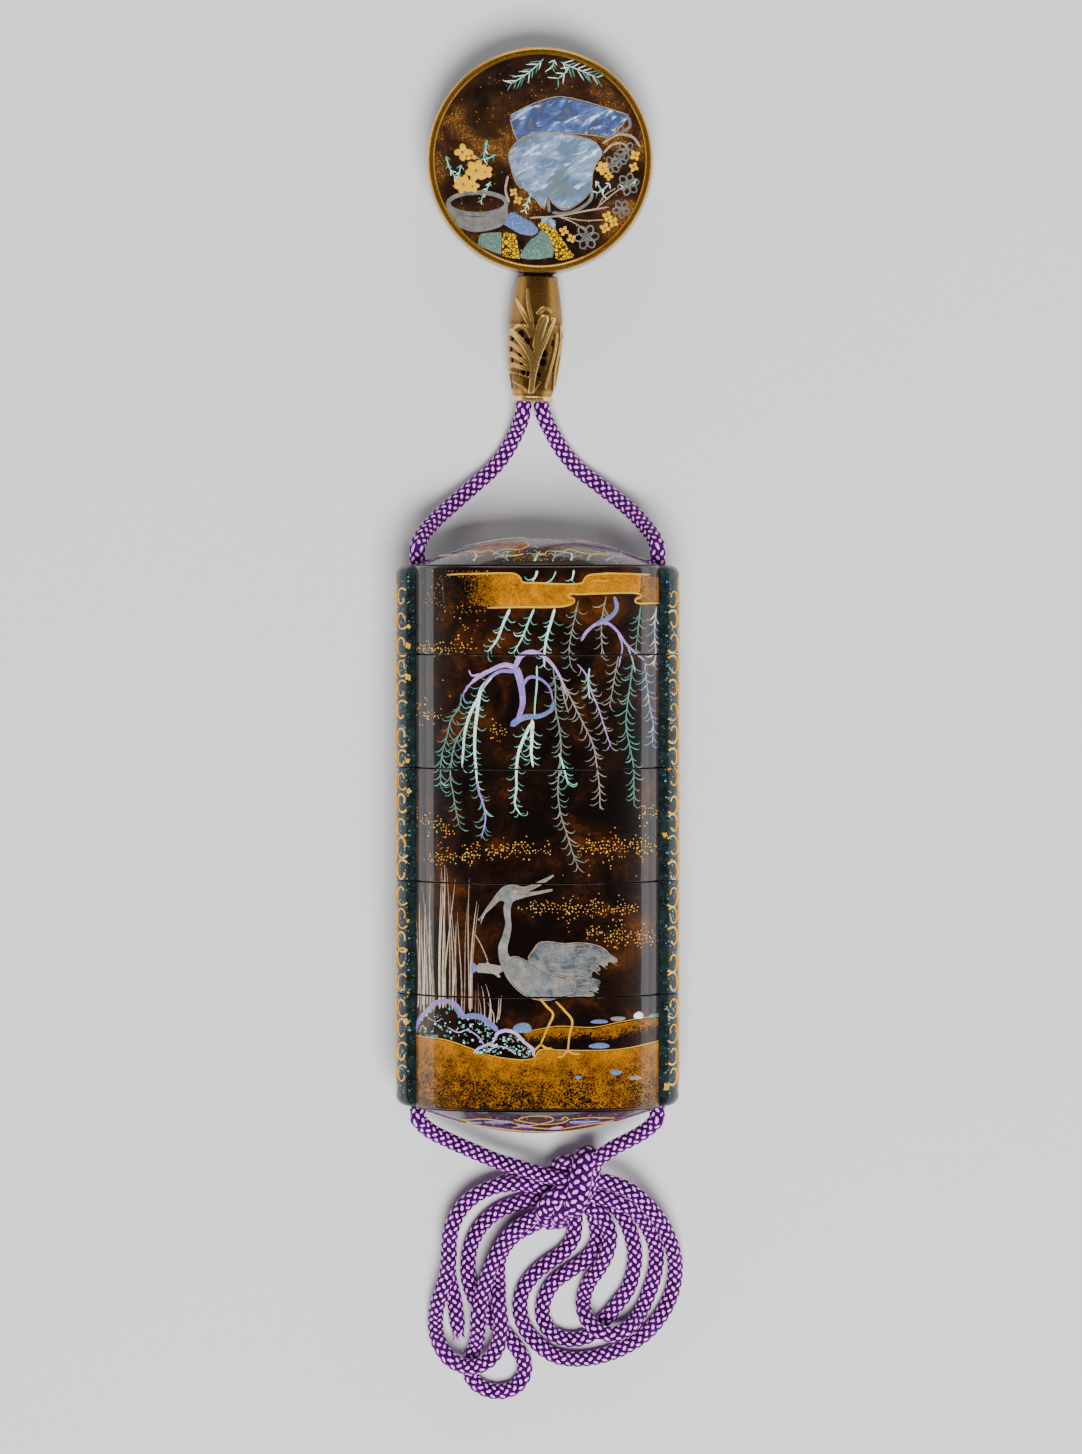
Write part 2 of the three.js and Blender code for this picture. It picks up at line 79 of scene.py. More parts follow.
STRAND_HEIGHT = 11.35
CHANNEL_X = 19.6
UPPER_RUN = [  # left and right strand's x, then their y and z
    (-1.35, 1.5, 98.6, 4.45), (-1.35, 1.5, 94, 4.45), (-1.42, 1.43, 91.3, 4.45), (-1.83, 1.02, 81, 4.45),
    (-2.22, 0.64, 71.2, 4.45), (-2.32, 0.72, 69.7, 4.4), (-2.6, 1.2, 68.2, 3.7), (-3.2, 2, 66.6, 2.5),
    (-4.1, 3, 64.7, 1.7), (-5.4, 4.5, 62.4, 1.35), (-7.5, 6.8, 59.8, 1.4), (-10.3, 10, 57.3, 2),
    (-13.1, 13.2, 54.8, 3.2), (-15.8, 16, 52.4, 5), (-17.9, 17.9, 50.2, 7.4), (-19, 19, 48.6, 9.6),
    (-19.5, 19.5, 47.3, 10.9), (-CHANNEL_X, CHANNEL_X, 46.6, STRAND_HEIGHT),
]
LOWER_LEFT = [
    (-19, -47.3, 10.8), (-17.5, -48.7, 9.9), (-15, -50.1, 8.8), (-11.3, -51.9, 7.6), (-7, -53.8, 6.8),
    (-2.9, -55.1, 6.5), (1.2, -56.3, 6.6), (5, -57.2, 6.8),
]
LOWER_RIGHT = [
    (19, -47.3, 10.9), (17.6, -48.6, 10.2), (15.2, -50.1, 9.4), (12.4, -51.6, 8.7), (10.1, -53.3, 8.3),
    (8, -54.9, 8),
]
LOOPS = {
    "left_outer": [(5, -59, 4.3), (1.2, -58.5, 4.3), (-2.9, -58, 4.3), (-7.2, -58.5, 4.3),
     (-10.8, -60.3, 4.3), (-13.3, -63.1, 4.3), (-14.5, -66.6, 4.3), (-14.6, -70.3, 4.3), (-15, -73.1, 4.3),
     (-15.7, -75.6, 3.9), (-16.5, -78.1, 2.8), (-16.9, -80.6, 1.6), (-16.8, -82.9, 1.8), (-16, -85.2, 3.2),
     (-14.5, -87, 4.3), (-12.3, -88.2, 4.3), (-9.8, -88.2, 4.3), (-7.7, -86.9, 4.3), (-6.5, -84.7, 4.3),
     (-6, -82.2, 4.3), (-6.2, -79.6, 4.3), (-6.5, -77.3, 3.5), (-6.5, -75.4, 2), (-6.6, -73.2, 1.3),
     (-6.4, -70.8, 1.3), (-5.4, -68.7, 1.3), (-3.7, -66.8, 1.3), (-1.4, -65.5, 1.3), (1.4, -64, 1.3),
     (4.4, -62, 1.3)],
    "left_inner": [(5, -61.4, 5.4), (1.7, -62.7, 5), (-1.2, -64, 4.3), (-3.9, -65.8, 4.3),
     (-5.9, -68.3, 4.3), (-7.4, -71.1, 4.3), (-8.5, -74.1, 4.3), (-9.3, -76.9, 4.3), (-9.8, -79.7, 4.3),
     (-9.9, -82.4, 3.1), (-10.2, -84.9, 1.7), (-10.9, -87.1, 1.3), (-11.3, -89.3, 1.3), (-10.5, -91.2, 1.3),
     (-8.6, -92.5, 1.3), (-6.1, -92.9, 1.3), (-3.7, -92.1, 1.3), (-2.3, -90.1, 1.3), (-2.3, -87.7, 1.3),
     (-3.5, -85.6, 1.3), (-5.1, -83.6, 1.3), (-6.9, -81.6, 1.3), (-8.7, -79.6, 1.3), (-10.4, -77.3, 1.3),
     (-11.4, -74.5, 1.3), (-11.5, -71.3, 1.3), (-10.9, -68.2, 1.3), (-9.2, -65.2, 1.3), (-6.4, -62.8, 1.3),
     (-2.9, -61.4, 1.3), (0.7, -60.5, 1.3), (4.7, -60.4, 1.3)],
    "right_outer": [(6.3, -61, 1.3), (6.2, -64.7, 1.3), (5.9, -67.3, 1.3), (4.2, -69.7, 1.3),
     (1.4, -71.7, 1.3), (-0.9, -73.8, 1.3), (-2.6, -76.5, 1.3), (-2.9, -79.6, 1.3), (-1.8, -82.8, 1.3),
     (0.4, -85.3, 1.3), (3.1, -87, 1.3), (6.5, -87.5, 1.3), (10.4, -87, 1.3), (14.2, -85.6, 1.3),
     (17.8, -83.3, 1.3), (20.6, -80, 1.3), (22.3, -76.2, 1.3), (22.8, -72.1, 1.8), (22.1, -68.3, 3.2),
     (20.4, -64.4, 4.8), (18, -61.3, 6.2), (15.2, -58.8, 7), (12.1, -57.5, 7.3), (9, -56.8, 7.4)],
    "right_middle": [(7.9, -61.2, 1.3), (9.2, -63.3, 1.3), (9.8, -65.7, 1.3), (9.8, -68.2, 1.3),
     (8.2, -70.7, 1.3), (5.5, -72.7, 1.3), (2.7, -74.8, 1.3), (1.1, -77.6, 1.3), (0.9, -80.6, 1.3),
     (2.2, -83, 1.3), (4.5, -84.1, 1.3), (7, -84.1, 1.3), (9.4, -83, 1.3), (11.2, -80.8, 1.3),
     (13, -78.6, 1.3), (14.8, -76.2, 1.3), (15.8, -73.2, 1.3), (16.1, -70, 1.3), (15.5, -66.8, 1.3),
     (14.2, -63.8, 1.3), (12.2, -61.5, 1.3), (9.5, -59.9, 1.3)],
    "right_inner": [(8.7, -61.7, 4.3), (10.8, -63.6, 4.3), (11.9, -66.3, 4.3), (11.5, -69.3, 4.3),
     (10.2, -72.1, 3.2), (8.5, -74.8, 1.6), (7.6, -77.6, 1.6), (8, -80.2, 3.5), (9.8, -82.2, 4.6),
     (12.5, -82.9, 4.6), (15.1, -81.9, 3.5), (17.1, -79.5, 1.5), (18.5, -76.3, 1.3), (19.5, -72.8, 1.3),
     (19.6, -69.2, 1.3), (18.4, -65.8, 2), (16.4, -62.9, 3.4), (13.8, -61.2, 4.3), (10.8, -60.3, 4.3),
     (8.3, -60, 4.3)],
}
CORD_END = [
    (5, -57.7, 1.3), (1.2, -57.4, 1.3), (-2.9, -57.5, 1.3), (-7.2, -58.7, 1.3), (-10.9, -60.7, 1.3),
    (-13.3, -63.5, 1.3), (-14.5, -67, 1.3), (-14.8, -70.7, 1.3), (-14.6, -74.3, 1.3), (-13.8, -77.6, 1.3),
    (-13.4, -80.6, 1.3), (-13.1, -83.3, 1.3),
]


class Wire:
    """A shader socket that can stand in a sum: each operator adds one Math node."""

    def __init__(self, look, socket):
        self.look, self.socket = look, socket

    def out(self, name):
        """Another output of the same node."""
        return Wire(self.look, self.socket.node.outputs[name])


def _operator(operation, reflected):
    """The method for an operator, in which a reflected wire is the second term."""
    if reflected:
        return lambda self, other: self.look.compute(operation, other, self)
    return lambda self, other: self.look.compute(operation, self, other)


for _sign, _operation in (
    ("add", "ADD"), ("sub", "SUBTRACT"), ("mul", "MULTIPLY"), ("truediv", "DIVIDE"), ("pow", "POWER"),
):
    setattr(Wire, f"__{_sign}__", _operator(_operation, False))
    setattr(Wire, f"__r{_sign}__", _operator(_operation, True))


class Recipe:
    """A Principled material that is put together one node at a time. Its millimetres are the
    object's own coordinates."""

    def __init__(self, name, **constants):
        self.material = bpy.data.materials.new(name)
        self.material.use_nodes = True
        self.tree = self.material.node_tree
        self.shader = self.tree.nodes["Principled BSDF"]
        for key, value in constants.items():
            self.shader.inputs[key.replace("_", " ")].default_value = value
        where = self.add("ShaderNodeTexCoord", output="Object")
        self.millimetres = self.add("ShaderNodeMapping", {}, {"Vector": where, "Scale": (1000,) * 3})

    def add(self, kind, settings=(), inputs=(), output=0):
        """A node of that type: its settings first, then its sockets' values or links."""
        node = self.tree.nodes.new(kind)
        for key, value in dict(settings).items():
            if key == "stops":
                for _ in value[2:]:
                    node.color_ramp.elements.new(0.5)
                for element, (place, *colour) in zip(node.color_ramp.elements, value):
                    element.position = place
                    element.color = (*colour, 1)
            else:
                setattr(node, key, value)
        for key, value in dict(inputs).items():
            if isinstance(value, Wire):
                self.tree.links.new(value.socket, node.inputs[key])
            else:
                node.inputs[key].default_value = value
        return Wire(self, node.outputs[output])

    def compute(self, operation, *terms):
        """A Math node over wires and numbers."""
        return self.add("ShaderNodeMath", {"operation": operation}, dict(enumerate(terms)))

    def feed(self, **links):
        """Links wires to the shader's own sockets, named with _ for a space."""
        for key, wire in links.items():
            self.tree.links.new(wire.socket, self.shader.inputs[key.replace("_", " ")])

    def tone(self):
        """The piece's own number per point."""
        return self.add("ShaderNodeAttribute", {"attribute_name": "tone"}, output="Fac")

    def turned(self, angle, scales):
        """Object coordinates turned about Z and then scaled along the new axes."""
        turned = self.add("ShaderNodeMapping", {}, {
            "Vector": self.add("ShaderNodeTexCoord", output="Object"), "Rotation": (0, 0, angle)})
        return self.add("ShaderNodeMapping", {}, {"Vector": turned, "Scale": scales})

    def split(self, vector):
        """The three parts of a vector."""
        x = self.add("ShaderNodeSeparateXYZ", {}, {0: vector})
        return x, x.out("Y"), x.out("Z")

    def noise(self, scale, detail=2, roughness=0.5, distortion=0, place=None):
        """Smooth noise from 0 to 1, over the object's millimetres unless given another place."""
        inputs = {"Vector": place or self.millimetres, "Scale": scale, "Detail": detail,
                  "Roughness": roughness, "Distortion": distortion}
        return self.add("ShaderNodeTexNoise", {}, inputs)

    def cells(self, scale, feature="F1", output="Distance", randomness=1):
        """Distance or colour of the nearest of scattered points."""
        inputs = {"Vector": self.millimetres, "Scale": scale, "Randomness": randomness}
        return self.add("ShaderNodeTexVoronoi", {"feature": feature}, inputs, output)

    def fade(self, value, low, high, start=0, end=1):
        """Smooth change from start to end as the value goes from low to high."""
        inputs = {0: value, 1: low, 2: high, 3: start, 4: end}
        return self.add("ShaderNodeMapRange", {"interpolation_type": "SMOOTHSTEP"}, inputs)

    def ramp(self, value, stops):
        """Colours along a value, from stops of a place, red, green and blue."""
        return self.add("ShaderNodeValToRGB", {"stops": stops}, {0: value})

    def mix(self, factor, *colours):
        """The first colour, a wire or red, green and blue, turning into the second."""
        first, second = (colour if isinstance(colour, Wire) else (*colour, 1) for colour in colours)
        settings = {"data_type": "RGBA", "clamp_factor": True}
        return self.add("ShaderNodeMix", settings, {0: factor, 6: first, 7: second}, 2)

    def bump(self, height, distance, strength=1.0):
        """A height in parts of the distance, in metres, that tilts the surface. It comes last and
        hands over the material."""
        inputs = {"Height": height, "Distance": distance, "Strength": strength}
        self.feed(Normal=self.add("ShaderNodeBump", {}, inputs))
        return self.material


def silk():
    """Plait cells from the piece's own map: chequered parity, rounded stitches, threads along
    each stitch, and painted shade darkening the crevices between."""
    look = Recipe("plaited silk", Roughness=0.45, Sheen_Weight=0.02, Sheen_Roughness=0.3,
                  Specular_IOR_Level=0.12)
    around, along, _ = look.split(look.add("ShaderNodeUVMap", {"uv_map": "plait"}))
    along = along + look.compute("PINGPONG", around, 1.0) * STITCH_SLANT
    parity = (look.compute("FLOOR", around) + look.compute("FLOOR", along)) * 0.5
    parity = look.compute("FRACT", parity) * 2
    u, v = (look.compute("ABSOLUTE", look.compute("FRACT", part) - 0.5) * 2 for part in (around, along))
    edge = (u ** 2.6 + v ** 2.6) ** 0.385
    wander = look.noise(3.1)
    lit = parity * look.fade(edge + wander * 0.7, 1.1, 1.28, 1, 0)
    thread = look.compute("SINE", (along * 3.0 + around * 4.2) * 6.283)
    patch = look.noise(0.35)
    colour = look.mix(look.fade(patch + thread * 0.05, 0.3, 0.7), PURPLE_SILK, LIT_PURPLE)
    pale = look.mix(look.fade(wander + thread * 0.1, 0.35, 0.65), SHADED_PALE, PALE_SILK)
    colour = look.mix(lit, colour, pale)
    # painted shade: the crevices between stitches turn near black
    colour = look.mix(look.fade(edge, 0.96, 1.22), colour, CREVICE_SHADE)
    look.feed(Base_Color=colour)
    return look.bump(thread * 0.25 + look.fade(edge, 0.5, 1.2, 1, 0), 0.00006, 0.7)


def smooth_route(knots, gap):
    """A centripetal Catmull-Rom curve through the knots, then points at even distances along it."""
    knots = np.array(knots, float)
    knots = np.vstack([2 * knots[0] - knots[1], knots, 2 * knots[-1] - knots[-2]])
    times = np.concatenate([[0], np.cumsum(np.linalg.norm(np.diff(knots, axis=0), axis=1) ** 0.5)])
    share = np.linspace(0, 1, 25)[:-1]
    at = np.repeat(np.arange(1, len(knots) - 2), len(share))
    time = times[at] + (times[at + 1] - times[at]) * np.tile(share, len(knots) - 3)
    time = time[:, None]

    def between(first, second, low, high):
        low, high = times[low][:, None], times[high][:, None]
        return ((high - time) * first + (time - low) * second) / (high - low)

    one = between(knots[at - 1], knots[at], at - 1, at)
    two = between(knots[at], knots[at + 1], at, at + 1)
    three = between(knots[at + 1], knots[at + 2], at + 1, at + 2)
    curve = between(between(one, two, at - 1, at + 1), between(two, three, at, at + 2), at, at + 1)
    curve = np.vstack([curve, knots[-2]])
    length = np.concatenate([[0], np.cumsum(np.linalg.norm(np.diff(curve, axis=0), axis=1))])
    even = np.linspace(0, length[-1], max(2, int(round(length[-1] / gap)) + 1))
    return np.stack([np.interp(even, length, curve[:, k]) for k in range(3)], axis=1)


def piece(name, grids, materials, sharp=None):
    """A mesh object from grids of points in millimetres. A grid is a dict: points (rows, columns, 3)
    or (many, rows, columns, 3); wrapped joins its last column to its first; closed puts a lid on
    its first and last row; map holds (u, v) per point, with one column more where wrapped; slot is
    its faces' material; tone is a number per point."""
    points, faces, maps, slots, tones = [], [], [], [], []
    first = 0
    for grid in grids:
        block = np.asarray(grid["points"], float)
        block = block[None] if block.ndim == 3 else block
        many, rows, columns, _ = block.shape
        wrapped = grid.get("wrapped", False)
        here = np.arange(columns if wrapped else columns - 1)
        there = (here + 1) % columns
        start = first + np.arange(many)[:, None, None] * rows * columns
        start = start + np.arange(rows - 1)[None, :, None] * columns
        near, far = start + here, start + there
        quads = np.stack([near, far, far + columns, near + columns], -1)
        points.append(block.reshape(-1, 3))
        faces += quads.reshape(-1, 4).tolist()
        slots += np.broadcast_to(grid.get("slot", 0), (many, rows - 1, len(here))).ravel().tolist()
        tones.append(np.broadcast_to(grid.get("tone", 0.5), block.shape[:3]).ravel())
        if "map" in grid:
            flat = grid["map"]
            low, high = flat[..., :-1, :, :], flat[..., 1:, :, :]
            corners = [low[..., :-1, :], low[..., 1:, :], high[..., 1:, :], high[..., :-1, :]]
            maps.append(np.stack(corners, axis=-2).reshape(-1, 2))
        if grid.get("closed"):
            ring = first + np.arange(columns)
            lids = [ring[::-1].tolist(), (ring + (rows - 1) * columns).tolist()]
            faces += lids
            slots += [int(np.max(grid.get("slot", 0)))] * 2
            if "map" in grid:
                maps.append(np.concatenate([flat[0, :-1][::-1], flat[-1, :-1]]))
        first += many * rows * columns
    mesh = bpy.data.meshes.new(name)
    mesh.from_pydata(np.concatenate(points) * MM, [], faces)
    mesh.polygons.foreach_set("material_index", np.array(slots, np.int32))
    if maps:
        layer = mesh.uv_layers.new(name="plait")
        layer.uv.foreach_set("vector", np.concatenate(maps).astype(np.float32).ravel())
    mesh.attributes.new("tone", "FLOAT", "POINT").data.foreach_set(
        "value", np.concatenate(tones).astype(np.float32))
    for material in materials:
        mesh.materials.append(material)
    mesh.shade_smooth()
    if sharp:
        mesh.set_sharp_from_angle(angle=math.radians(sharp))
    body = bpy.data.objects.new(name, mesh)
    bpy.context.collection.objects.link(body)
    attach(body, "root")
    return body


def plait(route, up=(0, 0, 1), wide=1.0, tall=1.0, keep=None, turn=0.0, drawn_in=0.0):
    """A round tube along the route, its rings of plait cells raised in the middle and sunk between:
    radius plus rise times (1 - 0.8 edge^2.5), the edge being the rounded distance from a cell's middle."""
    tangent = np.gradient(route, axis=0)
    tangent /= np.linalg.norm(tangent, axis=1, keepdims=True)
    side = np.cross(np.broadcast_to(up, tangent.shape), tangent)
    side /= np.linalg.norm(side, axis=1, keepdims=True)
    over = np.cross(tangent, side)
    length = np.concatenate([[0], np.cumsum(np.linalg.norm(np.diff(route, axis=0), axis=1))])
    if keep is not None:
        route, side, over, length = route[keep], side[keep], over[keep], length[keep]
    columns = np.arange(CORD_SIDES + 1) / CORD_SIDES
    around = columns[None] * STITCHES_ROUND + np.zeros((len(route), 1))
    along = (length / STITCH_LENGTH)[:, None] + turn + np.zeros_like(around)
    slanted = along + STITCH_SLANT * (1 - np.abs(around % 2 - 1))
    u, v = np.abs(around % 1 - 0.5) * 2, np.abs(slanted % 1 - 0.5) * 2
    edge = (u ** 2.6 + v ** 2.6) ** 0.385
    radius = CORD_DIAMETER / 2 - STITCH_RISE / 2 + STITCH_RISE * (1 - 0.8 * edge ** 2.5)
    if drawn_in:
        radius *= 1 - 0.36 * np.clip(1 - (length[-1] - length) / drawn_in, 0, 1)[:, None] ** 1.6
    angle = columns * 2 * np.pi
    flat, high = wide * np.cos(angle)[None, :, None], tall * np.sin(angle)[None, :, None]
    points = route[:, None] + radius[..., None] * (flat * side[:, None] + high * over[:, None])
    return {"points": points[:, :-1], "wrapped": True, "closed": True, "map": np.stack([around, along], -1)}


SILK = silk()


def frayed_tip(route, many=46):
    """Loose threads past the cut end of a cord: each leaves the end at a random place of it and
    bends outwards as the square of its length, its radius shrinking to nothing at the tip."""
    chance = np.random.default_rng(7)
    way = (route[-1] - route[-2]) / np.linalg.norm(route[-1] - route[-2])
    side = np.cross((0, 0, 1), way)
    over = np.cross(way, side)
    turn, root = chance.uniform(0, 2 * np.pi, many), 0.8 * np.sqrt(chance.random(many))
    away = (np.cos(turn)[:, None] * side + np.sin(turn)[:, None] * over)[:, None]
    share, long = np.linspace(0, 1, 7)[None, :, None], chance.uniform(0.7, 1.9, many)[:, None, None]
    bend = chance.uniform(-0.15, 0.65, many)[:, None, None]
    centre = route[-1] - 0.4 * way + away * root[:, None, None]
    centre = centre + long * (way * share + away * bend * share ** 2)
    ring = np.linspace(0, 2 * np.pi, 6)[:-1, None]
    radius = (0.085 * (1 - share ** 3) + 0.003)[..., None]
    points = centre[:, :, None] + radius * (np.cos(ring) * side + np.sin(ring) * over)
    points[..., 2] = np.maximum(points[..., 2], 0.01)
    cell = np.broadcast_to((np.arange(many) % 2 + 0.5)[:, None, None], (many, 7, 6))
    return {"points": points, "wrapped": True, "map": np.stack([cell, np.full(cell.shape, 0.3)], -1)}


def free_cord(name, knots, far_end, nodes, keep=None):
    """A stretch of the cord: its tube, in place of the parts it stands for, which are hidden."""
    route = smooth_route(knots, RING_GAP)
    kept = None if keep is None else keep(route)
    tube = plait(route, keep=kept, drawn_in=DRAWN_IN if far_end == "bare" else 0)
    strand = piece(name, [tube, frayed_tip(route)] if far_end == "bare" else [tube], [SILK])
    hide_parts(*nodes)


def shown_rings(route):
    """Every ring in the open, and every tenth one inside the netsuke, the ojime and the stack."""
    y = route[:, 1]
    hidden = (y > IN_NETSUKE) | ((y > IN_OJIME[0]) & (y < IN_OJIME[1])) | (np.abs(y) < IN_STACK)
    return ~hidden | (np.arange(len(route)) % HIDDEN_RINGS == 0)


def channel_run(x):
    return [(x, y, STRAND_HEIGHT) for y in (45.6, 30, 0, -30, -45.6, -46.4)]


for column, side_name, lower, x in (
    (0, "left", LOWER_LEFT, -CHANNEL_X), (1, "right", LOWER_RIGHT, CHANNEL_X),
):
    upper = [(knot[column], *knot[2:]) for knot in UPPER_RUN]
    free_cord(f"{side_name}_strand", upper + channel_run(x) + lower, "object",
              [f"cord_{side_name}_{part}" for part in ("upper", "channel", "lower")], shown_rings)
for name, knots in LOOPS.items():
    free_cord(f"bow_loop_{name}", knots, "object", [f"loop_{name}"])
free_cord("bow_bare_end", CORD_END, "bare", ["cord_end"])

# ==== Knot ====
# The bow's knot: two turns of the same cord pulled over the others, one turned back behind and
# a doubled one rolled to the left, round a tight core of cord.

KNOT_STRANDS = [
    ([(7, -56.8, 3.4), (7.6, -54.9, 3.6), (8, -53.2, 4.6), (8.1, -52.6, 6.4), (7.9, -53.2, 8),
     (7.4, -54.9, 9), (7, -57, 9.3), (6.6, -59.2, 9), (6.2, -61, 8), (5.9, -62.1, 6.3), (5.8, -62, 4.2),
     (5.8, -60.8, 3.4)], (1, 0.1, 0), 1, 1.5),
    ([(8.2, -56.4, 3.2), (9, -54.6, 3.6), (9.5, -53.5, 5), (9.5, -53.7, 6.6), (9.2, -54.9, 7.6),
     (8.8, -56.6, 7.8), (8.2, -58.6, 7.3), (7.4, -60.2, 6.2)], (1, 0.1, 0), 1, 1),
    ([(2.6, -56.6, 3.2), (3, -55.3, 4), (4.4, -54.4, 5.3), (6, -54.2, 6), (7.4, -54.9, 5.6),
     (8.2, -56, 4.2)], (0, 0, 1), 1, 1.2),
    ([(7.2, -59.6, 6.6), (5.8, -59, 7.8), (3.9, -59.2, 8.2), (2.2, -60.4, 7.8), (1.2, -62.2, 6.6),
     (1.2, -63.7, 4.8), (2.2, -64.2, 3.2), (3.4, -63.4, 2.6)], (0.3, 0.6, 1), 1.25, 1),
    ([(6.8, -61.2, 5.8), (5.4, -60.8, 7), (4.3, -61.5, 7.4), (3.6, -62.9, 6.5), (3.6, -64, 4.9),
     (4.2, -64, 3.2)], (0.3, 0.3, 1), 1.15, 1),
]
CORE_CENTRE = (5.6, -58.5, 4.5)
CORE_SIZE = (3.3, 3.7, 3.3)


def core_of_cord(centre, size):
    """A ball stretched to the given half sizes, all of it mapped to the dark beside a stitch, part of it the
    crevices' painted shade, so that it shows as painted shade between the knot's strands.
    """
    rings, turns = np.linspace(0.02, np.pi - 0.02, 28), np.arange(49) * np.pi / 24
    ring, turn = np.meshgrid(rings, turns, indexing="ij")
    ball = np.stack([np.sin(ring) * np.cos(turn), np.sin(ring) * np.sin(turn), -np.cos(ring)], -1)
    return {"points": (np.array(centre) + ball * np.array(size))[:, :-1], "wrapped": True, "closed": True,
            # the whole core takes the dark purple and the crevices' painted shade, as painted shade between
            # the strands
            "map": np.full(ring.shape + (2,), (0.12, 0.0))}


strands = [plait(smooth_route(knots, RING_GAP), up, wide, tall, turn=0.37 * i)
           for i, (knots, up, wide, tall) in enumerate(KNOT_STRANDS)]
knot = piece("knot_of_the_bow", [core_of_cord(CORE_CENTRE, CORE_SIZE)] + strands, [SILK])
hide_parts("knot")

# ==== Stack of cases ====
# Lid and four cases of lacquered wood, oval in plan with a half-round cord runner down each side.
# Each case has a riser that fits the one above, so that the stack closes with fine seams, and the
# cord's two channels run through every piece.

HALF_WIDTH, HALF_DEPTH, OVALNESS = 20.5, 11.5, 2.6
AXIS_HEIGHT = 11.35
HALF_STACK = 44.1
DOME_RISE = 4.6
SEAMS = (29.7, 11.25, -7.2, -25.65)
SEAM_HALF = 0.07
EDGE_ROUNDING = 0.14
SHOULDER_ROUNDING = 0.55
RUNNER_CENTRE, RUNNER_REACH, RUNNER_HALF_DEPTH, RUNNER_ROUNDING = 20.2, 2.95, 4.8, 1.6
INSIDE, RISER, SOCKET = (16.4, 9.5), (17.2, 10.3), (17.5, 10.6)
RISER_HEIGHT, SOCKET_DEPTH, CASE_FLOOR = 4.0, 4.5, 1.2
DOME_FLOOR, DOME_HOLLOW = 1.6, 4.0
CHANNEL_RADIUS = 1.7


def oval_reach(angle, half_width, half_depth):
    """From the middle to a superellipse: (|cos/w|^n + |sin/d|^n) to the power -1/n."""
    shares = np.abs(np.cos(angle) / half_width) ** OVALNESS + np.abs(np.sin(angle) / half_depth) ** OVALNESS
    return shares ** (-1 / OVALNESS)


def runner_reach(angle, rounding):
    """From the middle to the far side of a runner's ellipse, where the line meets it, or else 0."""
    reach, depth = RUNNER_REACH - rounding, RUNNER_HALF_DEPTH - rounding
    a = (np.cos(angle) / reach) ** 2 + (np.sin(angle) / depth) ** 2
    b = -2 * RUNNER_CENTRE * np.abs(np.cos(angle)) / reach ** 2
    c = (RUNNER_CENTRE / reach) ** 2 - 1
    square = b * b - 4 * a * c
    return np.where(square > 0, (-b + np.sqrt(np.maximum(square, 0))) / (2 * a), 0)


def plan_angles():
    """Angles round the plan: close together over the runners, then even along the oval, with one
    pair at the valley where runner and oval meet."""
    fine = np.linspace(0, 0.6, 6001)
    valley = fine[np.nonzero(runner_reach(fine, 0) > oval_reach(fine, HALF_WIDTH, HALF_DEPTH))[0][-1]]
    over_runner = np.linspace(0, valley, 14)
    turn = np.linspace(0, np.pi / 2, 90)
    x, z = np.cos(turn) ** (2 / OVALNESS) * HALF_WIDTH, np.sin(turn) ** (2 / OVALNESS) * HALF_DEPTH
    oval = np.arctan2(z, x)
    oval = oval[oval > valley + 0.012]
    quarter = np.concatenate([over_runner, [valley + 0.004], oval])
    half = np.concatenate([quarter, np.pi - quarter[-2::-1]])
    return np.concatenate([half, half[1:-1] + np.pi]), valley


ANGLES, VALLEY = plan_angles()
RUNNER_FACES = np.abs(np.sin(ANGLES + 0.002)) < math.sin(VALLEY)


def outer_ring(y, inset=0.0):
    """The outside at a height along the stack: the oval or the runner, whichever reaches further.
    Past the shoulders the oval shrinks as a parabola's and the runners end in a quarter round."""
    past = abs(y) - HALF_STACK
    if past > 0:
        share = math.sqrt(max(0.0, 1 - past / DOME_RISE))
        return share * oval_reach(ANGLES, HALF_WIDTH, HALF_DEPTH) - inset
    into = max(0.0, past + RUNNER_ROUNDING)
    rounding = RUNNER_ROUNDING - math.sqrt(RUNNER_ROUNDING ** 2 - into ** 2)
    into = max(0.0, past + SHOULDER_ROUNDING)
    shoulder = SHOULDER_ROUNDING - math.sqrt(SHOULDER_ROUNDING ** 2 - into ** 2)
    body = oval_reach(ANGLES, HALF_WIDTH, HALF_DEPTH) - shoulder * 0.8
    return np.maximum(body, runner_reach(ANGLES, rounding)) - inset


def inner_ring(sizes):
    return oval_reach(ANGLES, *sizes)


def dome_rings(side):
    """From the shoulder to the crown: heights that follow share = sin of an even angle."""
    shares = np.sin(np.linspace(math.radians(79), 0.006, 26))
    heights = HALF_STACK + DOME_RISE * (1 - shares ** 2)
    return [(side * h, outer_ring(h), 0) for h in heights]


def shoulder_rings(side):
    into = SHOULDER_ROUNDING * np.sin(np.radians([68, 52, 36, 20, 8]))
    ends = RUNNER_ROUNDING * np.sin(np.radians([90, 74, 58, 42, 28, 14, 0]))
    heights = np.concatenate([HALF_STACK - SHOULDER_ROUNDING + into, HALF_STACK - RUNNER_ROUNDING + ends])
    heights = np.unique(heights)
    return [(side * h, outer_ring(h), 1) for h in heights[::-1]]


def edge_rings(y, inward):
    """The rounded arris at a seam; inward is the direction along the stack into the piece."""
    turns = np.radians([0, 30, 60, 90])
    along, inset = EDGE_ROUNDING * (1 - np.cos(turns)), EDGE_ROUNDING * (1 - np.sin(turns))
    return [(y + inward * step, outer_ring(y, less), 1) for step, less in zip(along, inset)]


def wall_rings(high, low):
    return [(y, outer_ring(y), 1) for y in np.linspace(high, low, 5)[1:-1]]


def inner_dome(side):
    """The hollow inside a dome, a parabola like the outside's."""
    shares = np.sin(np.linspace(0.01, math.pi / 2, 14))
    foot = HALF_STACK - DOME_FLOOR
    return [(side * (foot + DOME_HOLLOW * (1 - s * s)), inner_ring(INSIDE) * s, 2) for s in shares]


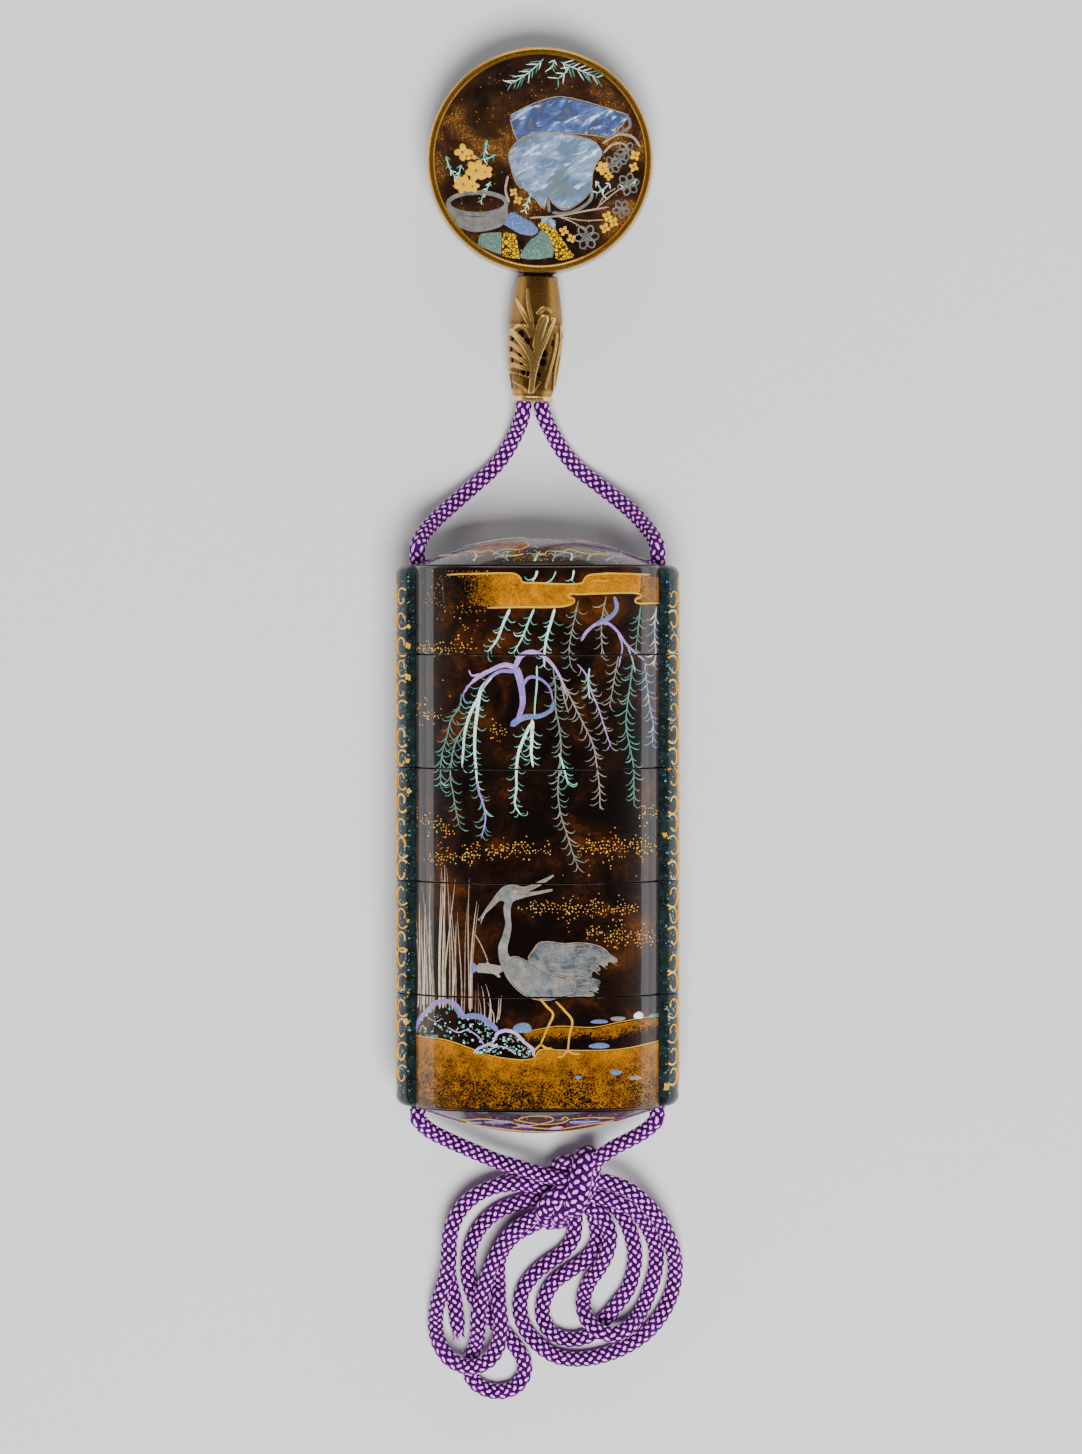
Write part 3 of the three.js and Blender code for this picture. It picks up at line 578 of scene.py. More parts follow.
def shell(name, rings, node):
    """One closed piece from its rings, each a height, its reach round the plan and its kind: 0 dome,
    1 outer wall with runners, 2 inside. The cord's channels are cut through it."""
    reach = np.array([r for _, r, _ in rings])
    y = np.array([h for h, _, _ in rings])[:, None] + np.zeros_like(reach)
    z = np.maximum(AXIS_HEIGHT + reach * np.sin(ANGLES), 0)
    kinds = np.array([kind for _, _, kind in rings])
    slots = np.where(kinds[1:] == 2, 2, 0)[:, None] + np.zeros((1, len(ANGLES)), int)
    slots = np.where(((kinds[1:] == 1) & (kinds[:-1] == 1))[:, None] & RUNNER_FACES, 1, slots)
    grid = {"points": np.stack([reach * np.cos(ANGLES), y, z], -1), "wrapped": True, "closed": True,
            "slot": slots[None]}
    body = piece(name, [grid], [LACQUER, RUNNER_LACQUER, INNER_LACQUER])
    cut(body, [bore(side * CHANNEL_X, AXIS_HEIGHT, CHANNEL_RADIUS) for side in (-1, 1)], 32)
    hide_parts(node)


def bore(x, z, radius, half=0.0, low=-60, high=60):
    """A straight bore along the stack, widened to a slot when half is given."""
    turn = np.linspace(0, 2 * np.pi, 48, endpoint=False)
    side = np.where(np.cos(turn) >= 0, half, -half)
    ring = np.stack([x + side + radius * np.cos(turn), z + radius * np.sin(turn)], -1)
    ends = np.array([high, low], float)[:, None] + np.zeros((1, len(turn)))
    return np.stack([ring[:, 0] + 0 * ends, ends, ring[:, 1] + 0 * ends], -1)


def cut(body, cutter_grids, sharp):
    """Takes closed grids' insides out of a closed piece. Its edges over that many degrees are sharp."""
    for grid in cutter_grids:
        cutter = piece("cutter", [{"points": grid, "wrapped": True, "closed": True}],
                       list(body.data.materials))
        cutter.data.polygons.foreach_set(
            "material_index", np.full(len(cutter.data.polygons), len(body.data.materials) - 1, np.int32))
        change = body.modifiers.new("cut", "BOOLEAN")
        change.operation, change.object, change.solver = "DIFFERENCE", cutter, "MANIFOLD"
        view = bpy.context.evaluated_depsgraph_get()
        finished = bpy.data.meshes.new_from_object(body.evaluated_get(view))
        body.modifiers.clear()
        body.data = finished
        bpy.data.objects.remove(cutter)
    body.data.shade_smooth()
    body.data.set_sharp_from_angle(angle=math.radians(sharp))


def amber(look):
    """The lacquer's colour: black clouding to amber brown, with a little grain."""
    cloud = look.noise(0.11, 5, 0.62, 0.5)
    grain = look.noise(1.9, 4, 0.75)
    return look.ramp(cloud + (grain - 0.5) * 0.26, [
        (0.42, 0.0028, 0.001, 0.0006), (0.54, 0.011, 0.0034, 0.0014),
        (0.64, 0.046, 0.012, 0.0012), (0.78, 0.135, 0.04, 0.003),
    ])


def lacquer():
    """Black-brown lacquer with cloudy amber under a clear polished coat."""
    look = Recipe("amber lacquer", Coat_Weight=1.0, Coat_Roughness=0.035, Coat_IOR=1.5,
                  Specular_IOR_Level=0.3)
    grain = look.noise(2.2, 3, 0.7)
    look.feed(Base_Color=amber(look), Roughness=look.fade(grain, 0.3, 0.7, 0.36, 0.48))
    return look.bump(grain, 0.000006, 0.4)


def runner_lacquer():
    """Blue-green lacquer crowded with crumbs of green shell, under the same clear coat."""
    look = Recipe("green flecked lacquer", Roughness=0.42, Coat_Weight=0.35, Coat_Roughness=0.12,
                  Specular_IOR_Level=0.3)
    crumb = look.cells(3.4)
    hue = look.cells(3.4, output="Color")
    red, green, _ = look.split(hue)
    lit = look.fade(crumb, 0.16, 0.3, 1, 0) * look.fade(red, 0.35, 0.55)
    shell_colour = look.ramp(green, [
        (0.0, 0.02, 0.064, 0.058), (0.4, 0.045, 0.14, 0.12), (0.75, 0.04, 0.09, 0.13),
        (1.0, 0.2, 0.28, 0.17),
    ])
    cloud = look.noise(0.5, 3)
    ground = look.ramp(cloud, [(0.35, 0.003, 0.005, 0.006), (0.7, 0.01, 0.021, 0.021)])
    look.feed(Base_Color=look.mix(lit, ground, shell_colour))
    return look.bump(lit, 0.00001, 0.5)


def inner_lacquer():
    """Red-brown lacquer strewn with pear-skin gold inside the cases and along the channels."""
    look = Recipe("inner lacquer", Roughness=0.35, Coat_Weight=0.8, Coat_Roughness=0.08)
    speck = look.cells(2.8)
    cloud = look.noise(0.3, 3)
    ground = look.ramp(cloud, [(0.3, 0.055, 0.014, 0.006), (0.7, 0.13, 0.04, 0.013)])
    look.feed(Base_Color=look.mix(look.fade(speck, 0.1, 0.22, 1, 0), ground, (0.55, 0.3, 0.07)))
    return look.bump(speck, 0.00001, 0.4)


LACQUER, RUNNER_LACQUER, INNER_LACQUER = lacquer(), runner_lacquer(), inner_lacquer()


def riser_rings(high):
    """From the foot of the riser's inside to the case's top edge: up the inside, over the rim and
    down the outside."""
    rim = high + RISER_HEIGHT
    inside, outside = inner_ring(INSIDE), inner_ring(RISER)
    return [(rim - 0.1, inside, 2), (rim, inside + 0.1, 2), (rim, outside - 0.1, 2), (rim - 0.1, outside, 2),
            (high, outside, 2)]


def socket_rings(low):
    return [(low, inner_ring(SOCKET), 2), (low + SOCKET_DEPTH, inner_ring(SOCKET), 2)]


lid_low = SEAMS[0] + SEAM_HALF
lid_rings = dome_rings(1)[::-1] + shoulder_rings(1) + wall_rings(HALF_STACK - RUNNER_ROUNDING, lid_low)
lid_rings += edge_rings(lid_low, 1)[::-1] + socket_rings(lid_low)
lid_rings += [(lid_low + SOCKET_DEPTH, inner_ring(INSIDE), 2)] + inner_dome(1)[::-1]
shell("inro_lid", lid_rings, "lid")
for number, (high, low) in enumerate(zip(SEAMS, SEAMS[1:])):
    high, low = high - SEAM_HALF, low + SEAM_HALF
    floor_top = low + SOCKET_DEPTH + CASE_FLOOR
    rings = [(floor_top, inner_ring(INSIDE) * 0.01, 2), (floor_top, inner_ring(INSIDE), 2)]
    rings += riser_rings(high) + edge_rings(high, -1) + wall_rings(high, low) + edge_rings(low, 1)[::-1]
    rings += socket_rings(low) + [(low + SOCKET_DEPTH, inner_ring(SOCKET) * 0.01, 2)]
    shell(f"inro_case_{number + 1}", rings, f"case_{number + 1}")
base_high = SEAMS[-1] - SEAM_HALF
base_rings = inner_dome(-1) + riser_rings(base_high) + edge_rings(base_high, -1)
base_rings += wall_rings(base_high, RUNNER_ROUNDING - HALF_STACK) + shoulder_rings(-1)[::-1] + dome_rings(-1)
shell("inro_case_4", base_rings, "case_4")

# ==== Netsuke ====
# A round manju of lacquered wood: flat back, bulging side, rolled gold rim and a slightly raised
# face. The cord goes into a slot in its lower side and is knotted inside.

NETSUKE_CENTRE = (0.4, 110.2)
FACE_RADIUS, FACE_RISE, FACE_TOP = 17.1, 1.05, 10.6
RIM_CENTRE, RIM_RADIUS = (17.72, 9.5), 0.64
SLOT_HALF, SLOT_RADIUS, SLOT_HEIGHT = 1.43, 1.52, 4.45


def face_height(radius):
    """Height of the raised face: its top less a power of the share of its radius."""
    return FACE_TOP - FACE_RISE * (np.minimum(radius, FACE_RADIUS) / FACE_RADIUS) ** 2.6


def netsuke_lacquer():
    """Brown-black lacquer with drifts of gold dust under a clear coat."""
    look = Recipe("netsuke lacquer", Roughness=0.4, Coat_Weight=1.0, Coat_Roughness=0.04,
                  Specular_IOR_Level=0.3)
    cloud = look.noise(0.11, 4, 0.6, 0.4)
    grain = look.noise(2.6, 3, 0.7)
    colour = look.ramp(cloud + (grain - 0.5) * 0.12, [
        (0.38, 0.007, 0.003, 0.002), (0.52, 0.03, 0.012, 0.005), (0.7, 0.12, 0.048, 0.011),
    ])
    speck = look.cells(4.2)
    dust = look.fade(speck - look.fade(cloud, 0.46, 0.66) * 0.24, 0.02, 0.08, 1, 0)
    look.feed(Base_Color=look.mix(dust, colour, (0.55, 0.27, 0.045)))
    return look.bump(grain * 0.6 + dust, 0.000008, 0.5)


def gold(name, light, deep, roughness, metallic, grit=0.6):
    """Burnished gold powder: fine grain in colour, gloss and surface."""
    look = Recipe(name, Metallic=metallic, Coat_Weight=0.25, Coat_Roughness=0.2)
    grain = look.noise(5.5, 3, 0.7)
    cloud = look.noise(0.4, 3)
    look.feed(
        Base_Color=look.mix(look.fade(grain * 0.6 + cloud * 0.4, 0.38, 0.62), deep, light),
        Roughness=look.fade(grain, 0.3, 0.7, roughness - 0.06, roughness + 0.1))
    return look.bump(grain, 0.000015, grit)


NETSUKE_LACQUER = netsuke_lacquer()
RIM_GOLD = gold("rim gold", (0.66, 0.33, 0.05), (0.52, 0.24, 0.025), 0.27, 0.9, 0.02)
GOLD = gold("raised gold", (1.0, 0.58, 0.05), (0.84, 0.38, 0.005), 0.34, 0.4)


def netsuke_rings():
    """Radius, height and finish from the middle of the back to the middle of the face."""
    bulge = smooth_route([(15.2, 0, 0), (16.6, 0.35, 0), (17.7, 1.3, 0), (18.35, 2.9, 0), (18.6, 5.3, 0),
                          (18.5, 7.6, 0), (18.3, 9.0, 0)], 0.35)[:, :2]
    turn = np.radians(np.linspace(-8, 205, 22))
    rim = np.array(RIM_CENTRE) + RIM_RADIUS * np.stack([np.cos(turn), np.sin(turn)], -1)
    radius = FACE_RADIUS * np.sin(np.linspace(np.pi / 2, 0.004, 30))
    face = np.stack([radius, face_height(radius)], -1)
    back = np.array([(0.1, 0), (5, 0), (10, 0), (14.6, 0)])
    finish = [1] * (len(back) + len(bulge)) + [2] * len(rim) + [0] * len(face)
    return np.concatenate([back, bulge, rim, face]), finish[1:]


profile, finish = netsuke_rings()
turn = np.linspace(0, 2 * np.pi, 192, endpoint=False)
netsuke_points = np.stack([
    NETSUKE_CENTRE[0] + profile[:, :1] * np.cos(turn), NETSUKE_CENTRE[1] + profile[:, :1] * np.sin(turn),
    profile[:, 1:] + np.zeros_like(turn)[None]], -1)
slots = np.array(finish)[None, :, None] + np.zeros((1, 1, len(turn)), int)
netsuke = piece("netsuke_body", [{"points": netsuke_points, "wrapped": True, "closed": True, "slot": slots}],
                [NETSUKE_LACQUER, LACQUER, RIM_GOLD])
cut(netsuke, [bore(0.1, SLOT_HEIGHT, SLOT_RADIUS, SLOT_HALF, 88, 99.6)], 40)
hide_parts("netsuke")

# ==== Ojime ====
# A barrel bead of gilt bronze, cast and chased: reed blades and a bud in relief over openwork, a
# plain burnished upper end and a lip at the lower end. Both strands run through it.

OJIME_LENGTH = 20.6
OJIME_FOOT = (-0.8, 70.9, 4.45)
OJIME_LEAN = 0.0388
OJIME_MEAN_RADIUS = 4.3
BLADES = [  # middle line as (round, up) in millimetres, half width, rise
    ([(1.2, 1.6), (1.45, 4.6), (1.2, 6.8), (0.2, 8.6), (-1.5, 10.4), (-3.2, 11.3), (-4.9, 10.9)], 0.62,
     0.32),
    ([(1.3, 1.6), (1.7, 4.6), (2.3, 7.4), (3.4, 10.4), (4.6, 13.4)], 0.52, 0.36),
    ([(1.1, 11), (0.5, 12.6), (-0.5, 14.3), (-1.7, 15.8), (-2.4, 16.6)], 0.36, 0.22),
    ([(1.3, 11.2), (0.9, 13.4), (0.3, 15.6), (-0.2, 18.2)], 0.3, 0.2),
    ([(0.9, 6.6), (-0.6, 8), (-2.6, 9.2), (-4.6, 9.6)], 0.5, 0.24),
    ([(0.9, 5.9), (-1, 6.9), (-3, 7.6), (-4.9, 7.5)], 0.5, 0.24),
    ([(0.8, 5.2), (-1, 5.6), (-3, 5.9), (-4.8, 5.4)], 0.46, 0.22),
    ([(0.9, 10.6), (0.1, 11.9), (-1.2, 12.3), (-2.6, 11.6)], 0.34, 0.26),
    ([(2.1, 9), (2.2, 10.6), (2.6, 12.2), (3, 13.4)], 0.85, 0.34),
    ([(1.7, 6.6), (1.9, 7.6), (2.1, 8.5)], 0.6, 0.26),
    ([(2, 14.4), (2.9, 15.2), (4, 14.8)], 0.34, 0.26),
    ([(-3.4, 3.2), (-1.4, 2.6), (0.8, 1.4), (1.4, 1.5), (2.9, 3.1)], 0.22, 0.2),
    ([(-4.8, 5), (-2.2, 4.5), (0.9, 3.9)], 0.2, 0.2),
    ([(4.2, 2.6), (4.8, 5.6), (5.4, 8.6), (5.6, 11)], 0.5, 0.26),
    ([(6.9, 2.2), (6.2, 5.4), (6.6, 8.4), (7.6, 11.4)], 0.48, 0.26),
    ([(8.4, 2.4), (7.8, 5.4), (7.4, 8.4), (6.7, 12.4)], 0.44, 0.24),
]
PIERCINGS = [  # (round, up) and radius of each hole in the openwork
    (-0.9, 10.9, 0.52), (0.2, 9.7, 0.46), (-3, 10.3, 0.42), (-3.4, 8.4, 0.4), (-0.9, 7.5, 0.4),
    (-3.2, 6.6, 0.38), (-0.7, 6.2, 0.26), (0.6, 4.6, 0.34), (-0.4, 4.7, 0.26), (3.3, 7.8, 0.45),
    (3.2, 6.4, 0.5), (2.6, 4.4, 0.3), (5, 9.6, 0.4), (5.6, 5.6, 0.4), (7, 7, 0.45), (7.1, 10.2, 0.4),
]
REPEATS = 2                     # the same relief twice round the bead


def ojime_radius(share):
    """A stretched sine over the bead's length, fullest a little past the middle."""
    angle = np.pi * np.clip(share * 0.93 + 0.02, 0, 1)
    return 3.2 + 1.35 * np.sin(angle) ** 1.15


def distance_to_line(px, py, line):
    """Nearest distance from grid points to a polyline, segment by segment, smallest kept."""
    line = smooth_route([(a, b, 0) for a, b in line], 0.4)[:, :2]
    starts, ends = line[:-1], line[1:]
    ways = ends - starts
    nearest = np.full(px.shape, 99.0)
    for (ax, ay), (wx, wy) in zip(starts, ways):
        t = np.clip(((px - ax) * wx + (py - ay) * wy) / (wx * wx + wy * wy), 0, 1)
        nearest = np.minimum(nearest, np.hypot(px - ax - t * wx, py - ay - t * wy))
    return nearest


def ojime_relief(around, up):
    """Height over the bead's barrel: blades as rounded ridges with a fine centre line, a sunk ground
    between them in the openwork, a chased band and straight-sided holes. The smallest rule wins."""
    ground = -0.22 / (1 + np.exp((up - 12.6) * 3)) / (1 + np.exp((1.8 - up) * 5))
    height = ground.copy()
    for line, half, rise in BLADES:
        away = distance_to_line(around, up, line) / half
        ridge = rise * np.sqrt(np.clip(1 - away ** 2, 0, 1)) - 0.1 * np.exp(-(away / 0.16) ** 2)
        height = np.where(away < 1, np.maximum(height, ground + 0.04 + ridge), height)
    band = (np.abs(up - 4.3 + 0.12 * around) < 0.55) & (around < 1.0)
    strokes = 0.1 * np.sin(around * 9.0 + np.sin(up * 5) * 1.2)
    height = np.where(band & (height < 0.02), height + strokes, height)
    holes = np.zeros_like(height)
    for x, y, radius in PIERCINGS:
        away = np.hypot(around - x, (up - y) * 0.85) / radius
        holes = np.maximum(holes, 1 / (1 + np.exp((away - 1) * 14)))
    holes = np.where(height > ground + 0.16, 0, holes)
    lip = 0.16 * np.exp(-((up - 0.42) / 0.3) ** 4) - 0.12 * np.exp(-((up - 1.1) / 0.25) ** 2)
    return height + lip, holes


def gilt_bronze():
    """Gilt bronze from black through brown to gold by the tone: lighter on the high places and darker in the
    low ones as painted light and shade of the relief, black in the holes as painted shade.
    """
    look = Recipe("gilt bronze", Metallic=0.9)
    tone = look.tone()
    grain = look.noise(3.0, 3, 0.65)
    fine = look.noise(14.0, 2, 0.6)
    level = tone + (grain - 0.5) * 0.24
    look.feed(
        Base_Color=look.ramp(level, [
            (0.02, 0.002, 0.001, 0.001), (0.2, 0.022, 0.01, 0.003), (0.38, 0.16, 0.078, 0.017),
            (0.58, 0.52, 0.27, 0.065), (0.86, 0.95, 0.62, 0.21),
        ]),
        Roughness=look.fade(level, 0.3, 0.9, 0.34, 0.2) + fine * 0.1)
    return look.bump(fine * 0.5 + grain, 0.00002, 0.6)


def ojime_grid():
    """Rings along the bead, each swollen, raised by the relief and leaning with the strands."""
    share = np.linspace(0, 1, 236)[:, None]
    turn = np.linspace(0, 2 * np.pi, 252, endpoint=False)[None]
    around = ((turn / (2 * np.pi) * REPEATS + 0.5) % 1 - 0.5) * 2 * np.pi * OJIME_MEAN_RADIUS / REPEATS
    around = around * np.ones_like(share) + 1.6
    up = share * OJIME_LENGTH * np.ones_like(turn)
    height, holes = ojime_relief(around, up)
    radius = ojime_radius(share) - 0.06 + height - holes * 0.95
    ends = np.clip(np.minimum(share, 1 - share) * OJIME_LENGTH / 0.25, 0, 1)
    radius = radius - 0.22 * (1 - np.sqrt(1 - (1 - ends) ** 2))
    # Tone from the relief's height: high places lighter and low ones darker as painted light and shade, the
    # plain upper end a little darker, the lip lighter as a painted highlight and the holes black as painted
    # shade.
    relief_tone_and_shade = np.where(up > 12.6, 0.46 + height * 1.2, 0.6 + height * 0.95)
    tone = np.clip(relief_tone_and_shade + 0.3 * np.exp(-((up - 0.42) / 0.4) ** 4), 0.05, 1) * (1 - holes)
    x, z = radius * np.sin(turn), radius * np.cos(turn)
    points = np.stack([
        OJIME_FOOT[0] + x * math.cos(OJIME_LEAN) + up * math.sin(OJIME_LEAN),
        OJIME_FOOT[1] - x * math.sin(OJIME_LEAN) + up * math.cos(OJIME_LEAN),
        np.maximum(OJIME_FOOT[2] + z, 0.0)], -1)
    return {"points": points[::-1], "wrapped": True, "closed": True, "tone": tone[::-1]}


GILT = gilt_bronze()
ojime = piece("ojime_bead", [ojime_grid()], [GILT])
cut(ojime, [bore(-0.4, OJIME_FOOT[2], SLOT_RADIUS, SLOT_HALF + 0.35, 60, 100)], 50)
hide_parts("ojime")

# ==== Gold clouds, banks and drifts ====
# Gold powder sprinkled on wet lacquer and polished down: a cloud band with a raised outline below
# the lid's shoulder, two banks of ground at the foot, and drifts of coarse gold flakes between.

BAND_UPPER = [
    (-15.6, 42.4), (-13.3, 42.7), (-9, 42.8), (-3.9, 42.8), (-3.1, 42.5), (-2.7, 42), (-2.5, 41.5),
    (-0.1, 41.3), (4, 41.3), (7.2, 41.3), (7.5, 41.8), (8, 42.4), (10.9, 42.8), (13.5, 42.8), (16.4, 42.7),
    (16.9, 42.4),
]
BAND_LOWER = [
    (-15.2, 37.2), (-13, 37.4), (-10.4, 37.5), (-7.8, 37.4), (-2, 37.4), (2, 37.4), (3.8, 37.5),
    (5.3, 37.9), (5.8, 38.5), (5.3, 38.9), (6, 39.5), (9, 39.6), (12.5, 39.6), (15.4, 39.6), (16.4, 39.6),
    (16.6, 39.2),
]
BAND_END_UPPER = [(16.2, 42.5), (17.4, 42.6), (18.8, 42.5), (20.2, 42.4)]
BAND_END_LOWER = [(15.9, 38.4), (17.2, 38.0), (18.8, 38.0), (20.2, 38.0)]
BAND_LINES = [
    [(-14.6, 42.6), *BAND_UPPER[1:8], *BAND_UPPER[9:14], (18.3, 42.6)],
    [(-8.2, 37.3), (-4, 37.4), (2, 37.4), (3.8, 37.5), (5.2, 37.8), (5.9, 38.3), (5.8, 38.8), (5.2, 38.9),
     (4.9, 39.3), (5.3, 39.6), (6.4, 39.5), (10, 39.6), (16.2, 39.6), (16.8, 39.3), (16.5, 38.9),
     (16, 38.8), (15.8, 38.3), (16.4, 38), (18, 38), (20, 38)],
    [(8.6, 41.6), (9.6, 41.7), (10.6, 41.6), (11.6, 41.7)],
]
NEAR_BANK_TOP = [
    (-20.1, -32.4), (-14.9, -32.7), (-10.7, -34), (-6.5, -35.3), (-0.7, -35.5), (0.3, -34.2), (4.5, -34.2),
    (12.5, -34.2), (20.1, -33.2),
]
NEAR_BANK_FOOT = [(-20.1, -44.0), (-10, -44.03), (0, -44.03), (10, -44.03), (20.1, -44.0)]
FAR_BANK_TOP = [(-2.3, -31.3), (3.2, -30.3), (9.0, -30.5), (13.5, -29.7), (17.4, -29.2), (20.2, -29.3)]
FAR_BANK_FOOT = [(-2.3, -33.6), (3.2, -33.9), (9.0, -34.1), (13.5, -34.0), (17.4, -33.6), (20.2, -33.3)]
DRIFTS = [  # from, to, spread up and down, share of places filled
    ((-20, 30.7), (-10.6, 30.9), 1.1, 0.85), ((-20, 20.4), (-15.6, 19.7), 1.4, 0.75),
    ((-7.6, 18), (-4.9, 17.2), 1.7, 0.95), ((-20, 3.6), (-13, 0.8), 1.6, 0.75),
    ((-18.4, -3.4), (-3.6, -1.7), 1.15, 0.9), ((-6, -1.4), (2.4, -1.9), 1.1, 0.9),
    ((6.4, -1.5), (20.2, -1.5), 1.6, 0.9), ((16.4, 3.6), (20.2, 4), 1.4, 0.6),
    ((-3, -11.2), (16.6, -11.4), 1.25, 0.95), ((8, -15), (20.2, -16.6), 1.4, 0.85),
    ((-13.6, 35.6), (-9, 31.4), 2.6, 0.14), ((-18, 6), (-12, -4), 2.6, 0.1),
    ((4, -7.6), (18, -6), 2.6, 0.06), ((-18, 27), (-12, 22), 2, 0.05),
]
BACK_DRIFTS = [
    ((-20, 33), (-6, 31.6), 1.3, 0.9), ((4, 22.5), (20, 20.9), 1.3, 0.9), ((-20, 3.6), (-2, 2.4), 1.3, 0.9),
    ((2, -5.2), (20, -6), 1.4, 0.9), ((-20, -15), (-6, -16), 1.3, 0.9),
    ((8, -20.8), (20, -21.6), 1.2, 0.85),
]
FLAKE_GAP = 0.48
FLAKE_SIZES = (0.09, 0.175)
STEP = 0.02                     # between the places that give a surface's slope
SUNK = -0.03                    # an inlay's rim, below the lacquer
FRONT_EDGE = 20.15              # how far round the front its decoration reaches

rng = np.random.default_rng(20)


def oval_height(x):
    """Height of the oval over the middle plane: depth times (1 - |x/w|^n) to the power 1/n."""
    share = np.clip(np.abs(x) / HALF_WIDTH, 0, 0.9999)
    return HALF_DEPTH * (1 - share ** OVALNESS) ** (1 / OVALNESS)


def shoulder_drop(v):
    """How far the shoulder's rounding has drawn the wall in."""
    into = np.clip(np.abs(v) - HALF_STACK + SHOULDER_ROUNDING, 0, SHOULDER_ROUNDING * 0.98)
    return (SHOULDER_ROUNDING - np.sqrt(SHOULDER_ROUNDING ** 2 - into ** 2)) * 0.8


def front(u, v):
    """The stack's front over x = u and y = v."""
    return np.stack([u, v + 0 * u, AXIS_HEIGHT + oval_height(u) - shoulder_drop(v)], -1)


def back(u, v):
    """The stack's back over x = -u and y = v, flat where it rests."""
    return np.stack([-u, v + 0 * u, np.maximum(AXIS_HEIGHT - oval_height(u) + shoulder_drop(v), 0)], -1)


def on(surface, u, v, lift):
    """Points on a surface moved along its normal, the cross product of its two slopes."""
    here = surface(u, v)
    across, along = surface(u + STEP, v) - surface(u - STEP, v), surface(u, v + STEP) - surface(u, v - STEP)
    normal = np.cross(across, along)
    normal /= np.linalg.norm(normal, axis=-1, keepdims=True)
    points = here + np.asarray(lift)[..., None] * normal
    points[..., 2] = np.maximum(points[..., 2], -0.06)
    return points


def curve(knots, count):
    """A smooth line through flat knots, as that many points evenly along it."""
    line = smooth_route([(a, b, 0) for a, b in knots], 0.1)[:, :2]
    share = np.linspace(0, len(line) - 1, count)
    return np.stack([np.interp(share, np.arange(len(line)), line[:, k]) for k in (0, 1)], -1)


def strips(surface, lines, half, tone=0.5, rise=0.05):
    """Narrow inlays along lines (many, points, 2) with half widths (many, points): three points
    across, the outer two sunk in the lacquer and the middle one proud by the rise."""
    lines, half = np.asarray(lines, float), np.asarray(half, float)
    way = np.gradient(lines, axis=-2)
    way /= np.linalg.norm(way, axis=-1, keepdims=True) + 1e-9
    side = np.stack([way[..., 1], -way[..., 0]], -1) * half[..., None]
    flat = lines[..., None, :] + side[..., None, :] * np.array([-1.0, 0, 1])[:, None]
    lift = np.array([SUNK, rise, SUNK]) + np.zeros(flat.shape[:-1])
    tone = np.broadcast_to(np.asarray(tone, float), flat.shape[:-1] if np.ndim(tone) == 3 else half.shape)
    tone = tone if tone.ndim == 3 else tone[..., None] + np.zeros(flat.shape[:-1])
    return {"points": on(surface, flat[..., 0], flat[..., 1], lift), "tone": tone}


def line_of(surface, knots, width, tone=0.5, rise=0.06, taper=0.25, count=None):
    """One line of inlay along a smooth curve, its width in millimetres drawn to a point over the
    taper's share at both ends; two widths go from the first to the second."""
    long = sum(math.dist(a, b) for a, b in zip(knots, knots[1:]))
    count = count or max(8, int(3.2 * long / max(0.6, np.max(width))))
    share = np.linspace(0, 1, count)
    widths = np.interp(share, [0, 1], [width, width] if np.ndim(width) == 0 else width)
    ends = np.clip(np.minimum(share, 1 - share) / max(taper, 1e-6), 0, 1)
    half = widths / 2 * (0.12 + 0.88 * np.sqrt(ends * (2 - ends)))
    return strips(surface, curve(knots, count)[None], half[None], tone, rise)


def patch(surface, upper, lower, rows=7, rise=0.05, tone=0.5, count=None):
    """A sheet between an upper and a lower line, both from left to right: its rim is sunk and the
    rest stands proud. tone may be a function of the flat place and the share of the way up."""
    count = count or max(12, int(1.6 * sum(math.dist(a, b) for a, b in zip(upper, upper[1:]))))
    top, bottom = curve(upper, count), curve(lower, count)
    share = np.linspace(0, 1, rows)[:, None]
    flat = bottom[None] + (top - bottom)[None] * share[..., None]
    lift = np.full(flat.shape[:2], rise)
    lift[0], lift[-1], lift[:, 0], lift[:, -1] = [SUNK] * 4
    shade = tone(flat[..., 0], flat[..., 1], share + 0 * flat[..., 0]) if callable(tone) else tone
    return {"points": on(surface, flat[..., 0], flat[..., 1], lift), "tone": shade}


def flakes(surface, u, v, sizes, tone, lift=0.03):
    """Small four-cornered flakes, each turned at random about its middle."""
    turn = rng.uniform(0, 2 * np.pi, len(u))[:, None] + np.array([0, 1, 3, 2]) * np.pi / 2
    reach = sizes[:, None] * rng.uniform(0.75, 1.25, turn.shape)
    x = (u[:, None] + reach * np.cos(turn)).reshape(-1, 2, 2)
    y = (v[:, None] + reach * np.sin(turn)).reshape(-1, 2, 2)
    shade = tone[:, None, None] + np.zeros_like(x)
    height = lift * rng.uniform(0.6, 2.0, len(u))[:, None, None] + np.zeros_like(x)
    return {"points": on(surface, x, y, height), "tone": shade}


